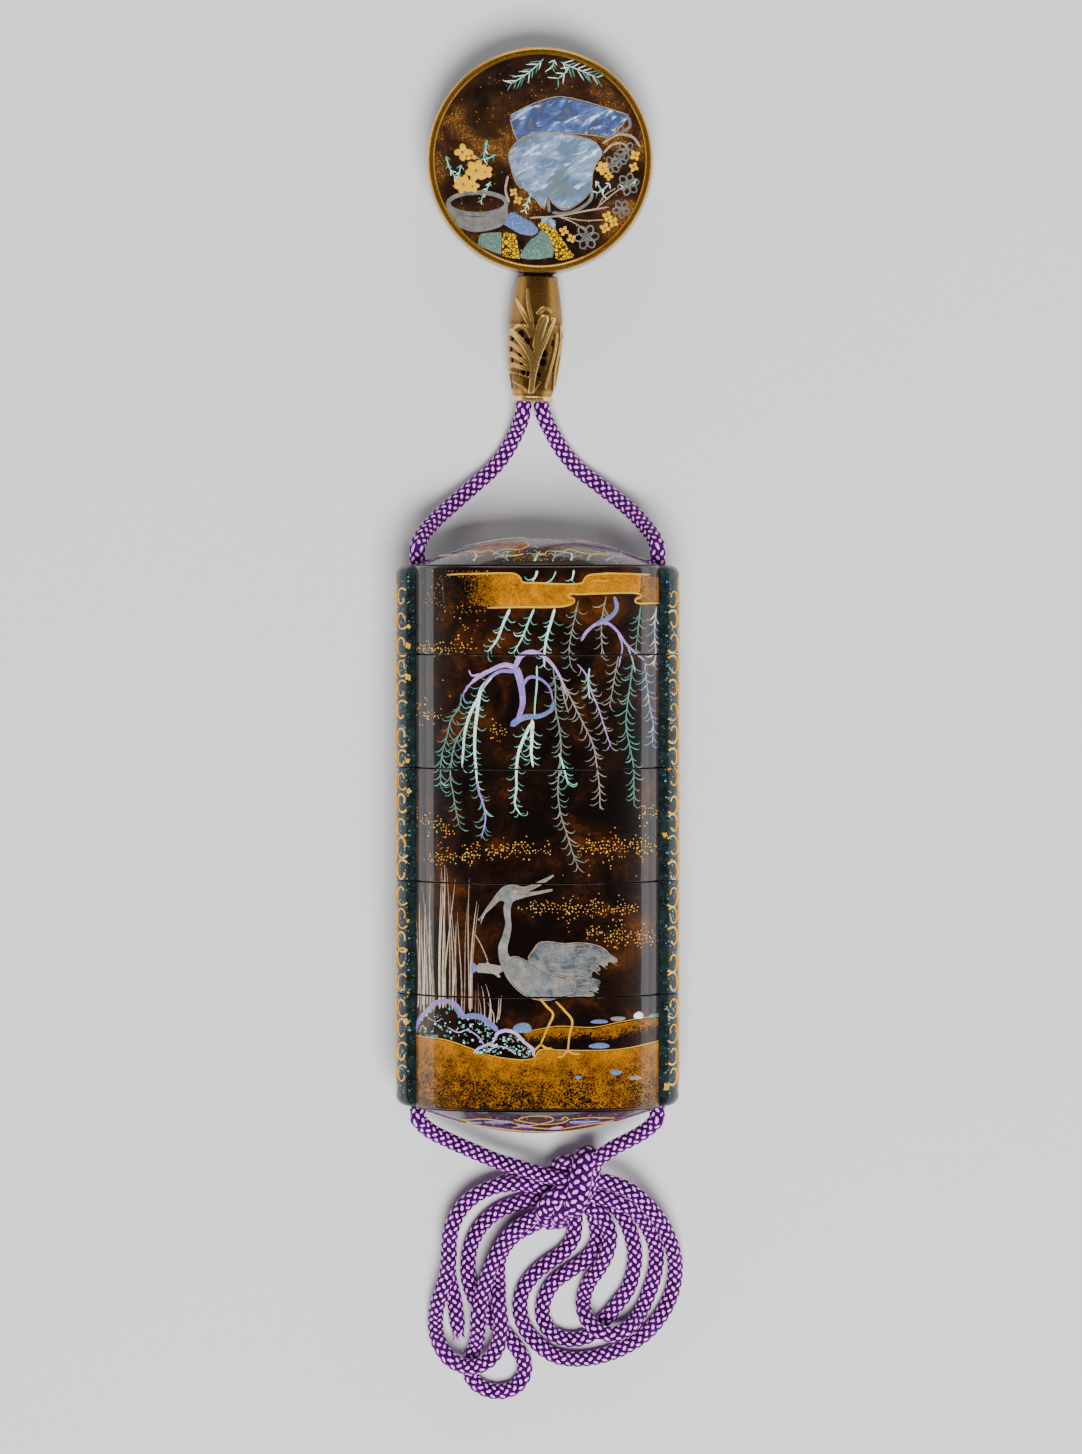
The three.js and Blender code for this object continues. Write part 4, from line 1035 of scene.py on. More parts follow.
def drift(surface, start, end, spread, full):
    """Flakes on a jittered lattice along a line: a place at height h from the line is filled with
    chance full * exp(-(h / spread)^2), so that they lie thick in the middle yet apart."""
    reach = spread * 3
    x = np.arange(min(start[0], end[0]), max(start[0], end[0]), FLAKE_GAP)
    y = np.arange(min(start[1], end[1]) - reach, max(start[1], end[1]) + reach, FLAKE_GAP)
    u, v = (axis.ravel() for axis in np.meshgrid(x, y))
    u, v = u + rng.uniform(-0.17, 0.17, len(u)), v + rng.uniform(-0.17, 0.17, len(v))
    share = np.clip((u - start[0]) / (end[0] - start[0]), 0, 1)
    width = spread * (1.0 + 0.35 * np.sin(u * 1.3 + start[1]))
    width = width * np.sin(np.clip(share, 0.05, 0.95) * np.pi) ** 0.35
    away = (v - start[1] - (end[1] - start[1]) * share) / width
    kept = rng.random(len(u)) < full * np.exp(-away ** 2)
    u, v, away = np.clip(u[kept], -FRONT_EDGE, FRONT_EDGE), v[kept], away[kept]
    sizes = FLAKE_SIZES[0] + (FLAKE_SIZES[1] - FLAKE_SIZES[0]) * rng.random(len(u)) ** 1.4
    tone = np.clip(rng.uniform(0.3, 1.0, len(u)) - 0.12 * np.abs(away), 0, 1)
    return flakes(surface, u, v, sizes, tone)


def part_at_seams(body):
    """Cuts an inlay where two cases meet and drops what lies over the gap."""
    shape = bmesh.new()
    shape.from_mesh(body.data)
    reach = SEAM_HALF + EDGE_ROUNDING * 0.5
    for seam in SEAMS:
        for edge in (seam - reach, seam + reach):
            everything = [*shape.verts, *shape.edges, *shape.faces]
            bmesh.ops.bisect_plane(shape, geom=everything, dist=1e-8,
                                   plane_co=(0, edge * MM, 0), plane_no=(0, 1, 0))
        gap = [face for face in shape.faces if abs(face.calc_center_median().y / MM - seam) < reach * 0.99]
        bmesh.ops.delete(shape, geom=gap, context="FACES")
    shape.to_mesh(body.data)
    shape.free()


def inlay(name, grids, finish, seams=True):
    """A finished layer of decoration: its mesh with its one material, cut at the seams unless told not to."""
    body = piece(name, grids, [finish])
    if seams:
        part_at_seams(body)


def sprinkled_gold():
    """Gold powder over the lacquer's own colour, as close as the tone says: single grains where it
    is low, a closed gold field where it is high, with darker pits."""
    look = Recipe("sprinkled gold", Coat_Weight=0.5, Coat_Roughness=0.06, Specular_IOR_Level=0.3)
    tone = look.tone()
    grains = look.cells(3.6)
    clumps = look.noise(0.55, 4, 0.65)
    fine = look.noise(3.6, 3, 0.75)
    cover = tone * 1.3 + (clumps - 0.5) * 0.75 - grains * 0.95 + (fine - 0.5) * 0.55
    mask = look.fade(cover, 0.12, 0.4)
    rich = look.ramp(fine * 0.6 + clumps * 0.4, [
        (0.36, 0.15, 0.047, 0.0), (0.48, 0.42, 0.145, 0.0), (0.64, 0.7, 0.262, 0.0),
    ])
    thin = look.ramp(fine * 0.6 + clumps * 0.4, [
        (0.36, 0.042, 0.014, 0.0), (0.48, 0.18, 0.062, 0.0), (0.62, 0.44, 0.164, 0.001),
    ])
    light = look.mix(look.fade(tone, 0.8, 1.1), thin, rich)
    look.feed(Base_Color=look.mix(mask, amber(look), light),
                Metallic=mask * 0.2, Roughness=look.fade(fine, 0.3, 0.7, 0.36, 0.5))
    return look.bump(mask * 0.6 + fine * 0.4, 0.00002, 0.5)


def gold_flake():
    """Coarse flakes of gold, each of its own brightness."""
    look = Recipe("gold flakes", Metallic=0.35, Roughness=0.4, Coat_Weight=0.6, Coat_Roughness=0.1)
    tone = look.tone()
    fine = look.noise(6.0)
    look.feed(Base_Color=look.ramp(tone + (fine - 0.5) * 0.3, [
        (0.0, 0.34, 0.115, 0.001), (0.45, 0.9, 0.36, 0.01), (1.0, 1.0, 0.66, 0.14),
    ]))
    return look.bump(fine, 0.00001, 0.5)


SPRINKLED, FLAKE = sprinkled_gold(), gold_flake()


def band_tone(x, y, up):
    """Closed gold, thinning to loose dust towards the left end."""
    return np.clip((x + 14.5) / 8.0, -0.1, 1.15)


def near_bank_tone(x, y, up):
    """Closed gold at the top edge, open and speckled below."""
    return 0.65 + 0.38 * up ** 3 - 0.14 * (1 - up) ** 2 + 0.05 * np.sin(x * 0.7)


def far_bank_tone(x, y, up):
    """Gold at the top edge, gone at the foot."""
    return 0.94 - 1.08 * (1 - up) ** 1.1 + 0.1 * np.sin(x * 0.55 + 1)


fields, outlines, loose = [], [], []
for surface, drifts in ((front, DRIFTS), (back, BACK_DRIFTS)):
    fields += [
        patch(surface, BAND_UPPER, BAND_LOWER, 11, 0.06, band_tone, 120),
        patch(surface, BAND_END_UPPER, BAND_END_LOWER, 9, 0.05, 0.8, 12),
        patch(surface, NEAR_BANK_TOP, NEAR_BANK_FOOT, 22, 0.05, near_bank_tone, 110),
        patch(surface, FAR_BANK_TOP, FAR_BANK_FOOT, 9, 0.03, far_bank_tone, 70),
    ]
    outlines += [line_of(surface, line, 0.34, rise=0.16, taper=0.04) for line in BAND_LINES]
    outlines.append(line_of(surface, NEAR_BANK_TOP, 0.22, rise=0.1, taper=0.02))
    outlines.append(line_of(surface, FAR_BANK_TOP, 0.16, rise=0.07, taper=0.1))
    loose += [drift(surface, *one) for one in drifts]
    dusty = np.array([(u, v) for u, v in zip(rng.uniform(-19.5, -8, 700), rng.normal(39.8, 1.9, 700))])
    dusty = dusty[rng.random(700) < np.clip((dusty[:, 0] + 19.5) / 11, 0, 1)]
    many = len(dusty)
    loose.append(flakes(surface, dusty[:, 0], np.clip(dusty[:, 1], 33.5, 43.2),
                        rng.uniform(0.05, 0.11, many), rng.uniform(0, 0.7, many)))
inlay("gold_clouds_and_banks", fields, SPRINKLED)
inlay("gold_outlines", outlines, GOLD)
inlay("gold_drifts", loose, FLAKE)

# ==== Willow ====
# A weeping willow in thin shell, cut and laid strip by strip: lavender boughs, bright mint stems
# and hundreds of curled leaflets in green, grey, beige and blue.

SHORT_STEMS = [  # knots from the top down, tone of the stem, its width, tone of its leaves
    ([(-4.4, 37.2), (-5.5, 34.8), (-6.5, 32.2), (-8, 30.2)], 0.5, (0.75, 0.3), 0.36),
    ([(-0.5, 37.2), (-1.3, 35.4), (-2.6, 32.2), (-3.9, 30)], 0.47, (0.55, 0.28), 0.34),
    ([(2.8, 37.2), (2.2, 35.1), (1.4, 32.2), (1.1, 29.6), (1.1, 27.7)], 0.52, (0.7, 0.36), 0.36),
    ([(6.6, 38.5), (6.1, 36.1), (5.4, 32.9), (5.1, 30.3), (5.4, 27.7)], 0.14, (0.3, 0.2), 0.16),
    ([(11.1, 39.2), (10.6, 36.7), (10.3, 33.5), (10.4, 30.9), (10.3, 29.3)], 0.1, (0.28, 0.2), 0.12),
    ([(16.7, 37.7), (16.4, 35.1), (16.1, 32.2), (15.8, 30.3)], 0.3, (0.3, 0.2), 0.22),
    ([(19.3, 37.4), (19, 33.5), (19.2, 29.6), (18.7, 27.7)], 0.6, (0.28, 0.2), 0.62),
    ([(0, 43.3), (-0.4, 42.2), (-0.9, 41.6)], 0.5, (0.6, 0.3), 0.38),
    ([(3, 43.2), (2.6, 42.3), (2.2, 41.7)], 0.46, (0.3, 0.22), 0.36),
    ([(5.9, 43.4), (5.7, 42.4), (5.5, 41.6)], 0.54, (0.5, 0.25), 0.38),
]
HANGING_STEMS = [
    ([(-9.1, 23.5), (-10.7, 20.6), (-11.7, 17.4), (-12, 14.1), (-12.2, 11.6)], 0.5, (0.85, 0.4), 0.3),
    ([(-7.2, 26.4), (-9.1, 24.1), (-9.7, 20.6), (-10.1, 17.1), (-10.1, 13.5), (-9.9, 11.2), (-9.8, 8.9)],
     0.53, (0.9, 0.45), 0.34),
    ([(-9.8, 9.6), (-9.4, 7.4), (-8.8, 5.8), (-8.4, 3.2), (-9.1, 0)], 0.84, (0.55, 0.25), 0.3),
    ([(-12.3, 23.5), (-12.6, 21.2), (-13.9, 19.3), (-14.6, 16.7), (-15.4, 13.8), (-15.7, 10.6), (-15.6, 8)],
     0.28, (0.34, 0.22), 0.3),
    ([(-11.7, 18.3), (-13, 16.1), (-13.8, 13.2), (-14.1, 10), (-13.6, 7.1), (-13.1, 4.2), (-12.6, 1.9)],
     0.16, (0.34, 0.22), 0.24),
    ([(-1, 18.8), (-2, 16.7), (-3, 14.1), (-3.4, 11.2), (-3.4, 8.3), (-3.6, 5.4), (-2.6, 3.8)], 0.52,
     (0.8, 0.35), 0.34),
    ([(-0.8, 19.3), (-0.9, 16.4), (-1, 13.8), (-0.7, 11.6)], 0.56, (0.9, 0.45), 0.38),
    ([(-0.1, 28), (-0.1, 25.1), (-0.4, 21.9), (-0.5, 19.6)], 0.46, (0.42, 0.32), None),
    ([(2.5, 27.7), (2.9, 24.5), (2.9, 21.2), (3.5, 18), (3.8, 14.8), (3.5, 11.2), (3.3, 7.4), (3.8, 3.8),
     (4.8, 0.6), (5.8, -2.6), (6.6, -4.6)], 0.12, (0.34, 0.24), 0.16),
    ([(3.5, 13.8), (4.2, 11.6), (5, 8.7)], 0.5, (0.42, 0.3), 0.36),
    ([(2.9, 27.7), (4.5, 24.5), (6.1, 21.2), (7.7, 18), (9, 15.1), (9.6, 11.6), (10, 8.3), (10.1, 4.8)],
     0.05, (0.32, 0.24), 0.1),
    ([(6.4, 28.3), (7.7, 26.7), (8.7, 23.8), (10, 20.6), (10.9, 17.7), (11.9, 14.8)], 0.88, (0.36, 0.24),
     0.1),
    ([(8.4, 27.6), (8.2, 25.4), (8.4, 22.6)], 0.48, (0.4, 0.26), 0.38),
    ([(13.1, 29.6), (12.5, 26.4), (11.9, 22.9), (11.6, 21.2)], 0.12, (0.28, 0.2), 0.14),
    ([(15.5, 29.3), (15.1, 25.8), (14.6, 22.2), (14.3, 18.7), (14.8, 15.4), (15.5, 11.9), (15.6, 8.7),
     (15.6, 5.1)], 0.3, (0.32, 0.22), 0.26),
    ([(17.4, 28.3), (17.7, 24.8), (18.2, 21.2), (18.8, 18), (18.6, 15.1)], 0.62, (0.34, 0.24), 0.64),
]
BOUGHS = [  # knots, tone, width from and to
    ([(-3.3, 18.9), (-2.4, 21.9), (-2.6, 24.5), (-3.1, 26.7), (-3.7, 27.9)], 0.82, (0.9, 1.7)),
    ([(-4.4, 18.3), (-2.3, 19.6), (0.5, 19.9), (2.2, 20.9), (2.6, 22.4)], 0.7, (1.5, 0.6)),
    ([(-3.4, 27.6), (-5.2, 28.1), (-7.2, 27.4), (-9.4, 26.1), (-11.7, 24.3)], 0.86, (1.2, 0.35)),
    ([(-3.7, 27.6), (-2.6, 29.6), (-0.7, 30.2), (1.2, 29.3), (2.5, 28), (3.8, 25.8), (4.8, 22.9)], 0.88,
     (1.2, 0.3)),
    ([(-3.6, 27), (-5.9, 27.1), (-7.8, 25.9), (-9.4, 23.6)], 0.8, (0.8, 0.5)),
    ([(-9.2, 26.6), (-10.6, 26.4), (-11.1, 27.3)], 0.9, (0.5, 0.25)),
    ([(-8, 27.3), (-10, 26), (-11.9, 23.5)], 0.92, (0.4, 0.25)),
    ([(-10.9, 25.1), (-12, 23.2), (-11.4, 21.9), (-10.6, 22.3)], 0.66, (0.45, 0.25)),
    ([(-2.6, 24.6), (-1.3, 26.1), (0.3, 25.9), (1.9, 24.5), (2.5, 22.3)], 0.78, (0.8, 0.3)),
    ([(7, 31.9), (8, 33.5), (9.6, 34.7), (11.3, 34.8), (12.9, 33.5), (14.2, 31.6), (15.5, 30.3),
     (17.4, 28.7)], 0.84, (0.7, 0.4)),
    ([(9.4, 34.6), (11.9, 35.9), (12.8, 37.3), (12.4, 39.2)], 0.72, (1.1, 0.7)),
    ([(12.9, 33.5), (13.7, 31), (13.4, 29.2), (13.1, 27.6)], 0.86, (0.35, 0.22)),
    ([(14.6, 31), (15.3, 29), (15.8, 26.8)], 0.4, (0.35, 0.22)),
    ([(3.8, 25.8), (4.4, 22.4), (5, 20.4)], 0.1, (0.4, 0.25)),
]
LEAF_GAP = 1.3
LEAF_LENGTHS = (1.4, 2.3)


def leaflets(surface, knots, tone, gap=LEAF_GAP):
    """Leaflets down both sides of a stem: after t of its length a leaflet is 0.9 t^1.15 out sideways
    and 1.35 t - 0.85 t^2.6 down along the stem, so it droops and tips up at its end."""
    line = curve(knots, 400)
    way = np.gradient(line, axis=0)
    way /= np.linalg.norm(way, axis=1, keepdims=True)
    long = np.concatenate([[0], np.cumsum(np.linalg.norm(np.diff(line, axis=0), axis=1))])
    many = int(long[-1] / gap)
    at = (np.arange(many) + 0.7)[:, None] * gap + rng.uniform(-0.32, 0.32, (many, 2))
    at = at + np.array([0, gap * 0.45])
    side = np.array([-1.0, 1.0]) + np.zeros_like(at)
    at, side = np.clip(at, 0, long[-1] - 0.1).ravel(), side.ravel()
    base = np.stack([np.interp(at, long, line[:, k]) for k in (0, 1)], -1)
    down = np.stack([np.interp(at, long, way[:, k]) for k in (0, 1)], -1) + np.array([0, -0.45])
    down /= np.linalg.norm(down, axis=1, keepdims=True)
    lean = rng.normal(0.05, 0.22, len(at))[:, None]
    out = np.stack([down[:, 1], -down[:, 0]], -1) * -side[:, None]
    out, down = out * np.cos(lean) + down * np.sin(lean), down * np.cos(lean) - out * np.sin(lean)
    size = (rng.uniform(*LEAF_LENGTHS, len(at)) * (1 - 0.25 * at / long[-1]))[:, None, None]
    share = np.linspace(0, 1, 6)[None, :, None]
    bend = rng.uniform(0.6, 1.3, len(at))[:, None, None]
    lines = base[:, None] + out[:, None] * size * share ** 1.15 * 0.9 + down[:, None] * size * (
        1.35 * share - 0.85 * share ** 2.6 * bend)
    half = np.array([0.05, 0.11, 0.14, 0.13, 0.095, 0.025]) * rng.uniform(0.8, 1.15, len(at))[:, None]
    shade = np.clip(tone + rng.normal(0, 0.05, len(at)), 0, 1)[:, None] + np.linspace(-0.02, 0.05, 6)
    return strips(surface, lines, half, shade, 0.045)


def shell_inlay():
    """Thin shell: its tone picks the hue, clouds and streaks move it a little, and fine bright
    veins run through it, under the clear coat."""
    look = Recipe("shell inlay", Coat_Weight=0.9, Coat_Roughness=0.05, Specular_IOR_Level=0.6)
    tone = look.tone()
    cloud = look.noise(0.9, 3, 0.6)
    vein = look.noise(3.3, 3, 0.6, 1.2)
    hue = look.ramp(tone + (cloud - 0.5) * 0.16, [
        (0.02, 0.33, 0.25, 0.2), (0.14, 0.15, 0.175, 0.145), (0.26, 0.06, 0.15, 0.118),
        (0.36, 0.065, 0.29, 0.22), (0.47, 0.24, 0.72, 0.55), (0.56, 0.92, 1.0, 0.92),
        (0.62, 0.08, 0.17, 0.3), (0.7, 0.1, 0.13, 0.36), (0.82, 0.24, 0.145, 0.5),
        (0.94, 0.58, 0.34, 0.66),
    ])
    lit = look.mix(look.fade(vein, 0.54, 0.74, 0, 0.4), hue, (0.8, 0.86, 0.8))
    look.feed(Base_Color=look.mix(look.fade(vein, 0.3, 0.46, 0.45, 0), lit, (0.05, 0.07, 0.07)),
                Roughness=look.fade(vein, 0.3, 0.7, 0.22, 0.36))
    return look.bump(vein, 0.00001, 0.4)


SHELL = shell_inlay()
layers = []
for surface in (front, back):
    for knots, tone, width, leaf in SHORT_STEMS + HANGING_STEMS:
        layers.append(line_of(surface, knots, width, tone, 0.07, 0.12))
        if leaf is not None:
            layers.append(leaflets(surface, knots, leaf))
    layers += [line_of(surface, knots, width, tone, 0.1, 0.1) for knots, tone, width in BOUGHS]
inlay("willow", layers, SHELL)

# ==== Heron, reeds and rocks ====
# A wading heron in silver-grey shell with gold legs and fine pewter outlines, reeds in pewter foil
# behind it, and rocks of green and lavender shell at the water's edge.

HERON_NECK = [
    (-4.2, -9.4), (-4.8, -10.6), (-4.9, -12), (-4.7, -13.9), (-5.1, -15.9), (-5.6, -17.8), (-5.2, -19.6),
    (-4, -21.4), (-2.2, -23.2),
]
HERON_NECK_WIDTHS = [1.5, 1.5, 1.15, 1.45, 1.75, 2.0, 2.7, 3.8, 3.2]
HERON_BODY = (
    [(-5.6, -20), (-3.9, -19), (-2, -19.6), (0, -20.8), (2.2, -21.9), (4.2, -22.7)],
    [(-5.6, -20.8), (-4.9, -22.4), (-3.8, -23.8), (-2, -25.3), (0, -26), (2.2, -26), (4.2, -25.2)],
)
HERON_WING = (
    [(-1.6, -19.3), (-0.6, -17.8), (0.2, -16.8), (1.6, -16.6), (4.4, -16.9), (6.4, -16.8), (8.6, -17),
     (10.6, -17.7), (12.4, -19.6)],
    [(-1.6, -19.6), (0, -20.8), (2, -21.8), (4.5, -22.3), (7.2, -22.5), (8.7, -21.7), (9.3, -20.8),
     (10.6, -20.1), (12.4, -19.8)],
)
HERON_TAIL = (
    [(2.6, -22.4), (4.4, -22.5), (7.1, -22.5), (8.4, -22.6)],
    [(2.6, -25.8), (4, -25.6), (6.2, -25.4), (8.4, -25.4)],
)
HERON_HEAD = (
    [(-9, -12.4), (-7.4, -10.1), (-6.3, -8.6), (-5.3, -7.7), (-3.8, -7.45), (-2.2, -7.8), (0.2, -6.9),
     (2.7, -5.75)],
    [(-9, -12.6), (-7.2, -10.9), (-6, -9.9), (-4.9, -10.2), (-3.7, -9.9), (-2.4, -8.9), (0.2, -7.6),
     (2.7, -5.95)],
)
HERON_BILL = (
    [(-3.4, -9), (-2.2, -8.7), (0, -8.5), (2.5, -8.1)],
    [(-3.4, -9.8), (-2.2, -9.4), (0, -8.9), (2.5, -8.3)],
)
FEATHER_TIPS = [  # ragged ends of wing and tail, then of the crest, and their widths
    ([(8.6, -17.9), (10.6, -18.6), (12.9, -20)], 1.4),
    ([(7.4, -18.9), (9.4, -19.3), (11.3, -20.5)], 1.5),
    ([(6.4, -19.9), (8.4, -20.3), (10.1, -21.4)], 1.5),
    ([(5, -21), (7, -21.4), (8.8, -22.3)], 1.3),
    ([(6.2, -23.1), (8.2, -22.9), (10.2, -23.3)], 1.3),
    ([(6.2, -24), (8.2, -23.9), (9.9, -24.4)], 1.3),
    ([(5.8, -24.8), (7.4, -24.9), (9.2, -25.3)], 1.1),
    ([(-8.2, -11.5), (-9, -12.5), (-9.5, -13.3)], 0.4),
]
HERON_LINES = [  # fine plumes of the crest and the breast, and their widths
    ([(-8.3, -11.7), (-9, -12.7), (-9.7, -13.1)], 0.22),
    ([(-8, -11.4), (-8.9, -12.9), (-9.2, -13.8)], 0.2),
    ([(-4.2, -22.2), (-3.4, -23.8), (-2.2, -24.8)], 0.14),
    ([(-2.8, -21.6), (-2, -23.4), (-0.6, -24.8)], 0.14),
    ([(-1, -22.2), (-0.2, -23.6), (1.2, -24.8)], 0.14),
    ([(1, -22.8), (1.8, -24), (3, -24.8)], 0.14),
]
WING_SHAFTS = [
    [(-0.6, -18.9), (3.2, -18.2), (6.6, -17.7), (9.8, -18)],
    [(0, -19.6), (3.8, -19.2), (7.4, -18.7), (11.2, -19)],
    [(0.8, -20.2), (4.2, -20.2), (7.4, -19.9), (10.4, -19.8)],
    [(1.6, -20.9), (4.4, -21.2), (7, -21.1), (9.2, -20.8)],
    [(2.6, -21.5), (4.6, -21.9), (6.6, -21.9), (8, -21.8)],
    [(0.2, -17.6), (2.8, -17.5), (5.4, -17.2), (8.2, -17.1)],
]
TAIL_SHAFTS = [
    [(4, -23.4), (6.4, -23.1), (9.2, -23.6)],
    [(4.2, -24.1), (6.6, -24), (9.4, -24.2)],
    [(4.2, -24.9), (6.6, -24.8), (9.2, -24.9)],
]
HERON_LEGS = [
    [(0.2, -25.6), (1.4, -27), (2.5, -28.3), (1.8, -30.2), (0.5, -33.2)],
    [(2.9, -26.2), (4.4, -27.8), (5.6, -29.4), (5.2, -31.6), (4.9, -34.2)],
    [(0.5, -33.2), (1.6, -33.9), (2.4, -33.9)],
    [(0.5, -33.2), (-0.6, -34.2), (-1.4, -34.2)],
    [(4.8, -34.2), (6, -34.8), (6.9, -34.8)],
    [(4.8, -34.2), (4, -35.2), (3.2, -35.3)],
]
DRIFTWOOD = [
    ([(-10.1, -20.9), (-8.9, -20.9), (-6.9, -21.1), (-5.6, -21.4)], 2, 0.07),
    ([(-8.2, -19.8), (-7.4, -21.2), (-6, -22.4)], 0.5, 0.04),
    ([(-10.1, -15.4), (-9, -17.4), (-8, -19.8)], 0.22, 0.02),
]
ROCKS = [  # upper line, lower line
    ([(-19.6, -31.4), (-19, -29.8), (-17.6, -28.1), (-15.9, -26.9), (-13.9, -27), (-12.5, -28),
     (-10.7, -29), (-9.1, -29.2), (-7.6, -30.4), (-6.7, -31)], [(-19.6, -32.3), (-17, -32.6),
     (-14.9, -32.7), (-12.6, -33.4), (-10.7, -34), (-9.1, -34.2), (-7.6, -33.6), (-6.7, -32.4)]),
    ([(-10.2, -34.4), (-9.1, -33.8), (-7.2, -32.9), (-6.5, -31.7), (-5.2, -31.2), (-3.6, -31.6),
     (-2.3, -32.9), (-0.8, -34.2)], [(-10.2, -34.7), (-8.4, -35.1), (-6.5, -35.4), (-4.6, -35.5),
     (-2.6, -35.5), (-0.8, -35.3)]),
]
ROCK_LINES = [  # broad shell outlines, width, tone
    ([(-19.9, -31.9), (-19.3, -29.9), (-17.7, -28), (-15.9, -26.5), (-13.9, -26.6), (-12.6, -27.7),
     (-12.1, -28.9)], 0.95, 0.8),
    ([(-13.4, -27), (-12.2, -28.9), (-10.7, -28.7), (-9.1, -28.9), (-7.5, -30.1), (-6.4, -31.1)], 1.15,
     0.72),
    ([(-10.4, -34.7), (-9.1, -33.7), (-7.2, -32.8), (-6.5, -31.5), (-5.2, -31), (-3.6, -31.4),
     (-2.3, -32.7), (-0.8, -34), (-0.6, -35.2)], 0.7, 0.92),
    ([(-14.6, -30.6), (-12.8, -31.4), (-11.4, -31), (-9.6, -32), (-8.6, -33.4)], 0.45, 0.88),
    ([(-8.4, -34.6), (-6.6, -33.6), (-5, -33.8), (-3.4, -34.9)], 0.4, 0.94),
    ([(-17.8, -29.2), (-16.4, -29.8), (-15.4, -29.2)], 0.3, 0.84),
]
TUFTS = [  # of reeds: from, to, foot, range of tips, blades, their width
    (-19.7, -17.6, -27.8, (-16.2, -9.8), 7, 0.34), (-17.4, -14, -28, (-8.5, -3.8), 9, 0.36),
    (-13.8, -10.6, -28.2, (-14.5, -6.4), 8, 0.34), (-9.7, -6.2, -30, (-26.6, -22.4), 9, 0.26),
]
STONES = [  # middle, half width, half height, tone
    ((-2.4, -30.6), 1.6, 0.9, 0.64), ((10, -29.6), 1.5, 0.35, 0.7), ((13, -29.2), 1.3, 0.4, 0.12),
    ((16.4, -28.8), 0.85, 0.62, 0.57), ((10, -33.5), 1.9, 0.5, 0.68), ((12.7, -37.9), 1.1, 0.5, 0.64),
    ((-10.3, -20.9), 0.55, 0.85, 0.72), ((15.8, -38.9), 1.2, 0.4, 0.12), ((19, -29), 1, 0.35, 0.3),
    ((6.6, -38.6), 0.7, 0.3, 0.66),
]


def blob(surface, centre, half_width, half_height, tone, rise=0.08, lean=0.0):
    """An oval piece of shell, from its two half sizes, its middle proud of its sunk rim."""
    turn = np.linspace(0, 2 * np.pi, 20, endpoint=False)
    share = np.array([1.0, 0.8, 0.02])[:, None]
    wobble = 1 + 0.06 * np.sin(turn * 3 + centre[0])
    u = half_width * wobble * np.cos(turn) * share
    v = half_height * wobble * np.sin(turn) * share
    turned = u * math.cos(lean) - v * math.sin(lean), u * math.sin(lean) + v * math.cos(lean)
    u, v = centre[0] + turned[0], centre[1] + turned[1]
    lift = np.array([SUNK, rise, rise * 1.2])[:, None] + 0 * u
    return {"points": on(surface, u, v, lift), "wrapped": True, "tone": tone}


def reeds(surface, low, high, bottoms, tops, many, width):
    """Reed blades from a tuft's foot, fanning a little and drawn out to points."""
    x = np.linspace(low, high, many) + rng.normal(0, 0.16, many)
    foot = bottoms + rng.uniform(-0.8, 0.8, many)
    tip = rng.uniform(*tops, many)
    fan = (x - (low + high) / 2) * 0.18 + rng.normal(0, 0.55, many)
    share = np.linspace(0, 1, 16)
    lines = np.stack([x[:, None] + fan[:, None] * share ** 1.6 + 0.12 * np.sin(share * 5 + x[:, None]),
                      foot[:, None] + (tip - foot)[:, None] * share], -1)
    half = width / 2 * (1 - share ** 3 * 0.85) * rng.uniform(0.7, 1.25, many)[:, None]
    return strips(surface, lines, half, rng.uniform(0.15, 0.9, many)[:, None], 0.05)


def silver_shell():
    """Grey shell: soft silver clouds with blue and warm patches and fine barbs of light."""
    look = Recipe("silver shell", Coat_Weight=0.9, Coat_Roughness=0.05, Specular_IOR_Level=0.6)
    tone = look.tone()
    cloud = look.noise(0.42, 4, 0.6, 0.8)
    barb = look.noise(1.0, 3, 0.6, place=look.turned(0.5, (1300, 3000, 900)))
    colour = look.ramp(tone * 0.4 + cloud * 0.8 + (barb - 0.5) * 0.14, [
        (0.46, 0.05, 0.062, 0.07), (0.56, 0.105, 0.13, 0.145), (0.64, 0.165, 0.165, 0.155),
        (0.72, 0.22, 0.215, 0.21), (0.86, 0.36, 0.36, 0.36),
    ])
    rust = look.noise(0.8, 3, 0.7, 1.5)
    colour = look.mix(look.fade(rust, 0.54, 0.68, 0, 0.65), colour, (0.36, 0.21, 0.14))
    look.feed(Base_Color=colour, Roughness=look.fade(barb, 0.3, 0.7, 0.24, 0.36))
    return look.bump(barb, 0.000012, 0.5)


def pewter():
    """Beige pewter foil, duller in places, lightly scratched along the blades."""
    look = Recipe("pewter reed", Metallic=0.25, Coat_Weight=0.7, Coat_Roughness=0.08)
    tone = look.tone()
    worn = look.noise(1.2, 3, 0.6)
    look.feed(Base_Color=look.ramp(tone * 0.5 + worn * 0.5, [
        (0.25, 0.12, 0.075, 0.05), (0.5, 0.42, 0.31, 0.22), (0.75, 0.8, 0.64, 0.48),
    ]), Roughness=look.fade(worn, 0.3, 0.7, 0.3, 0.45))
    return look.bump(worn, 0.00001, 0.4)


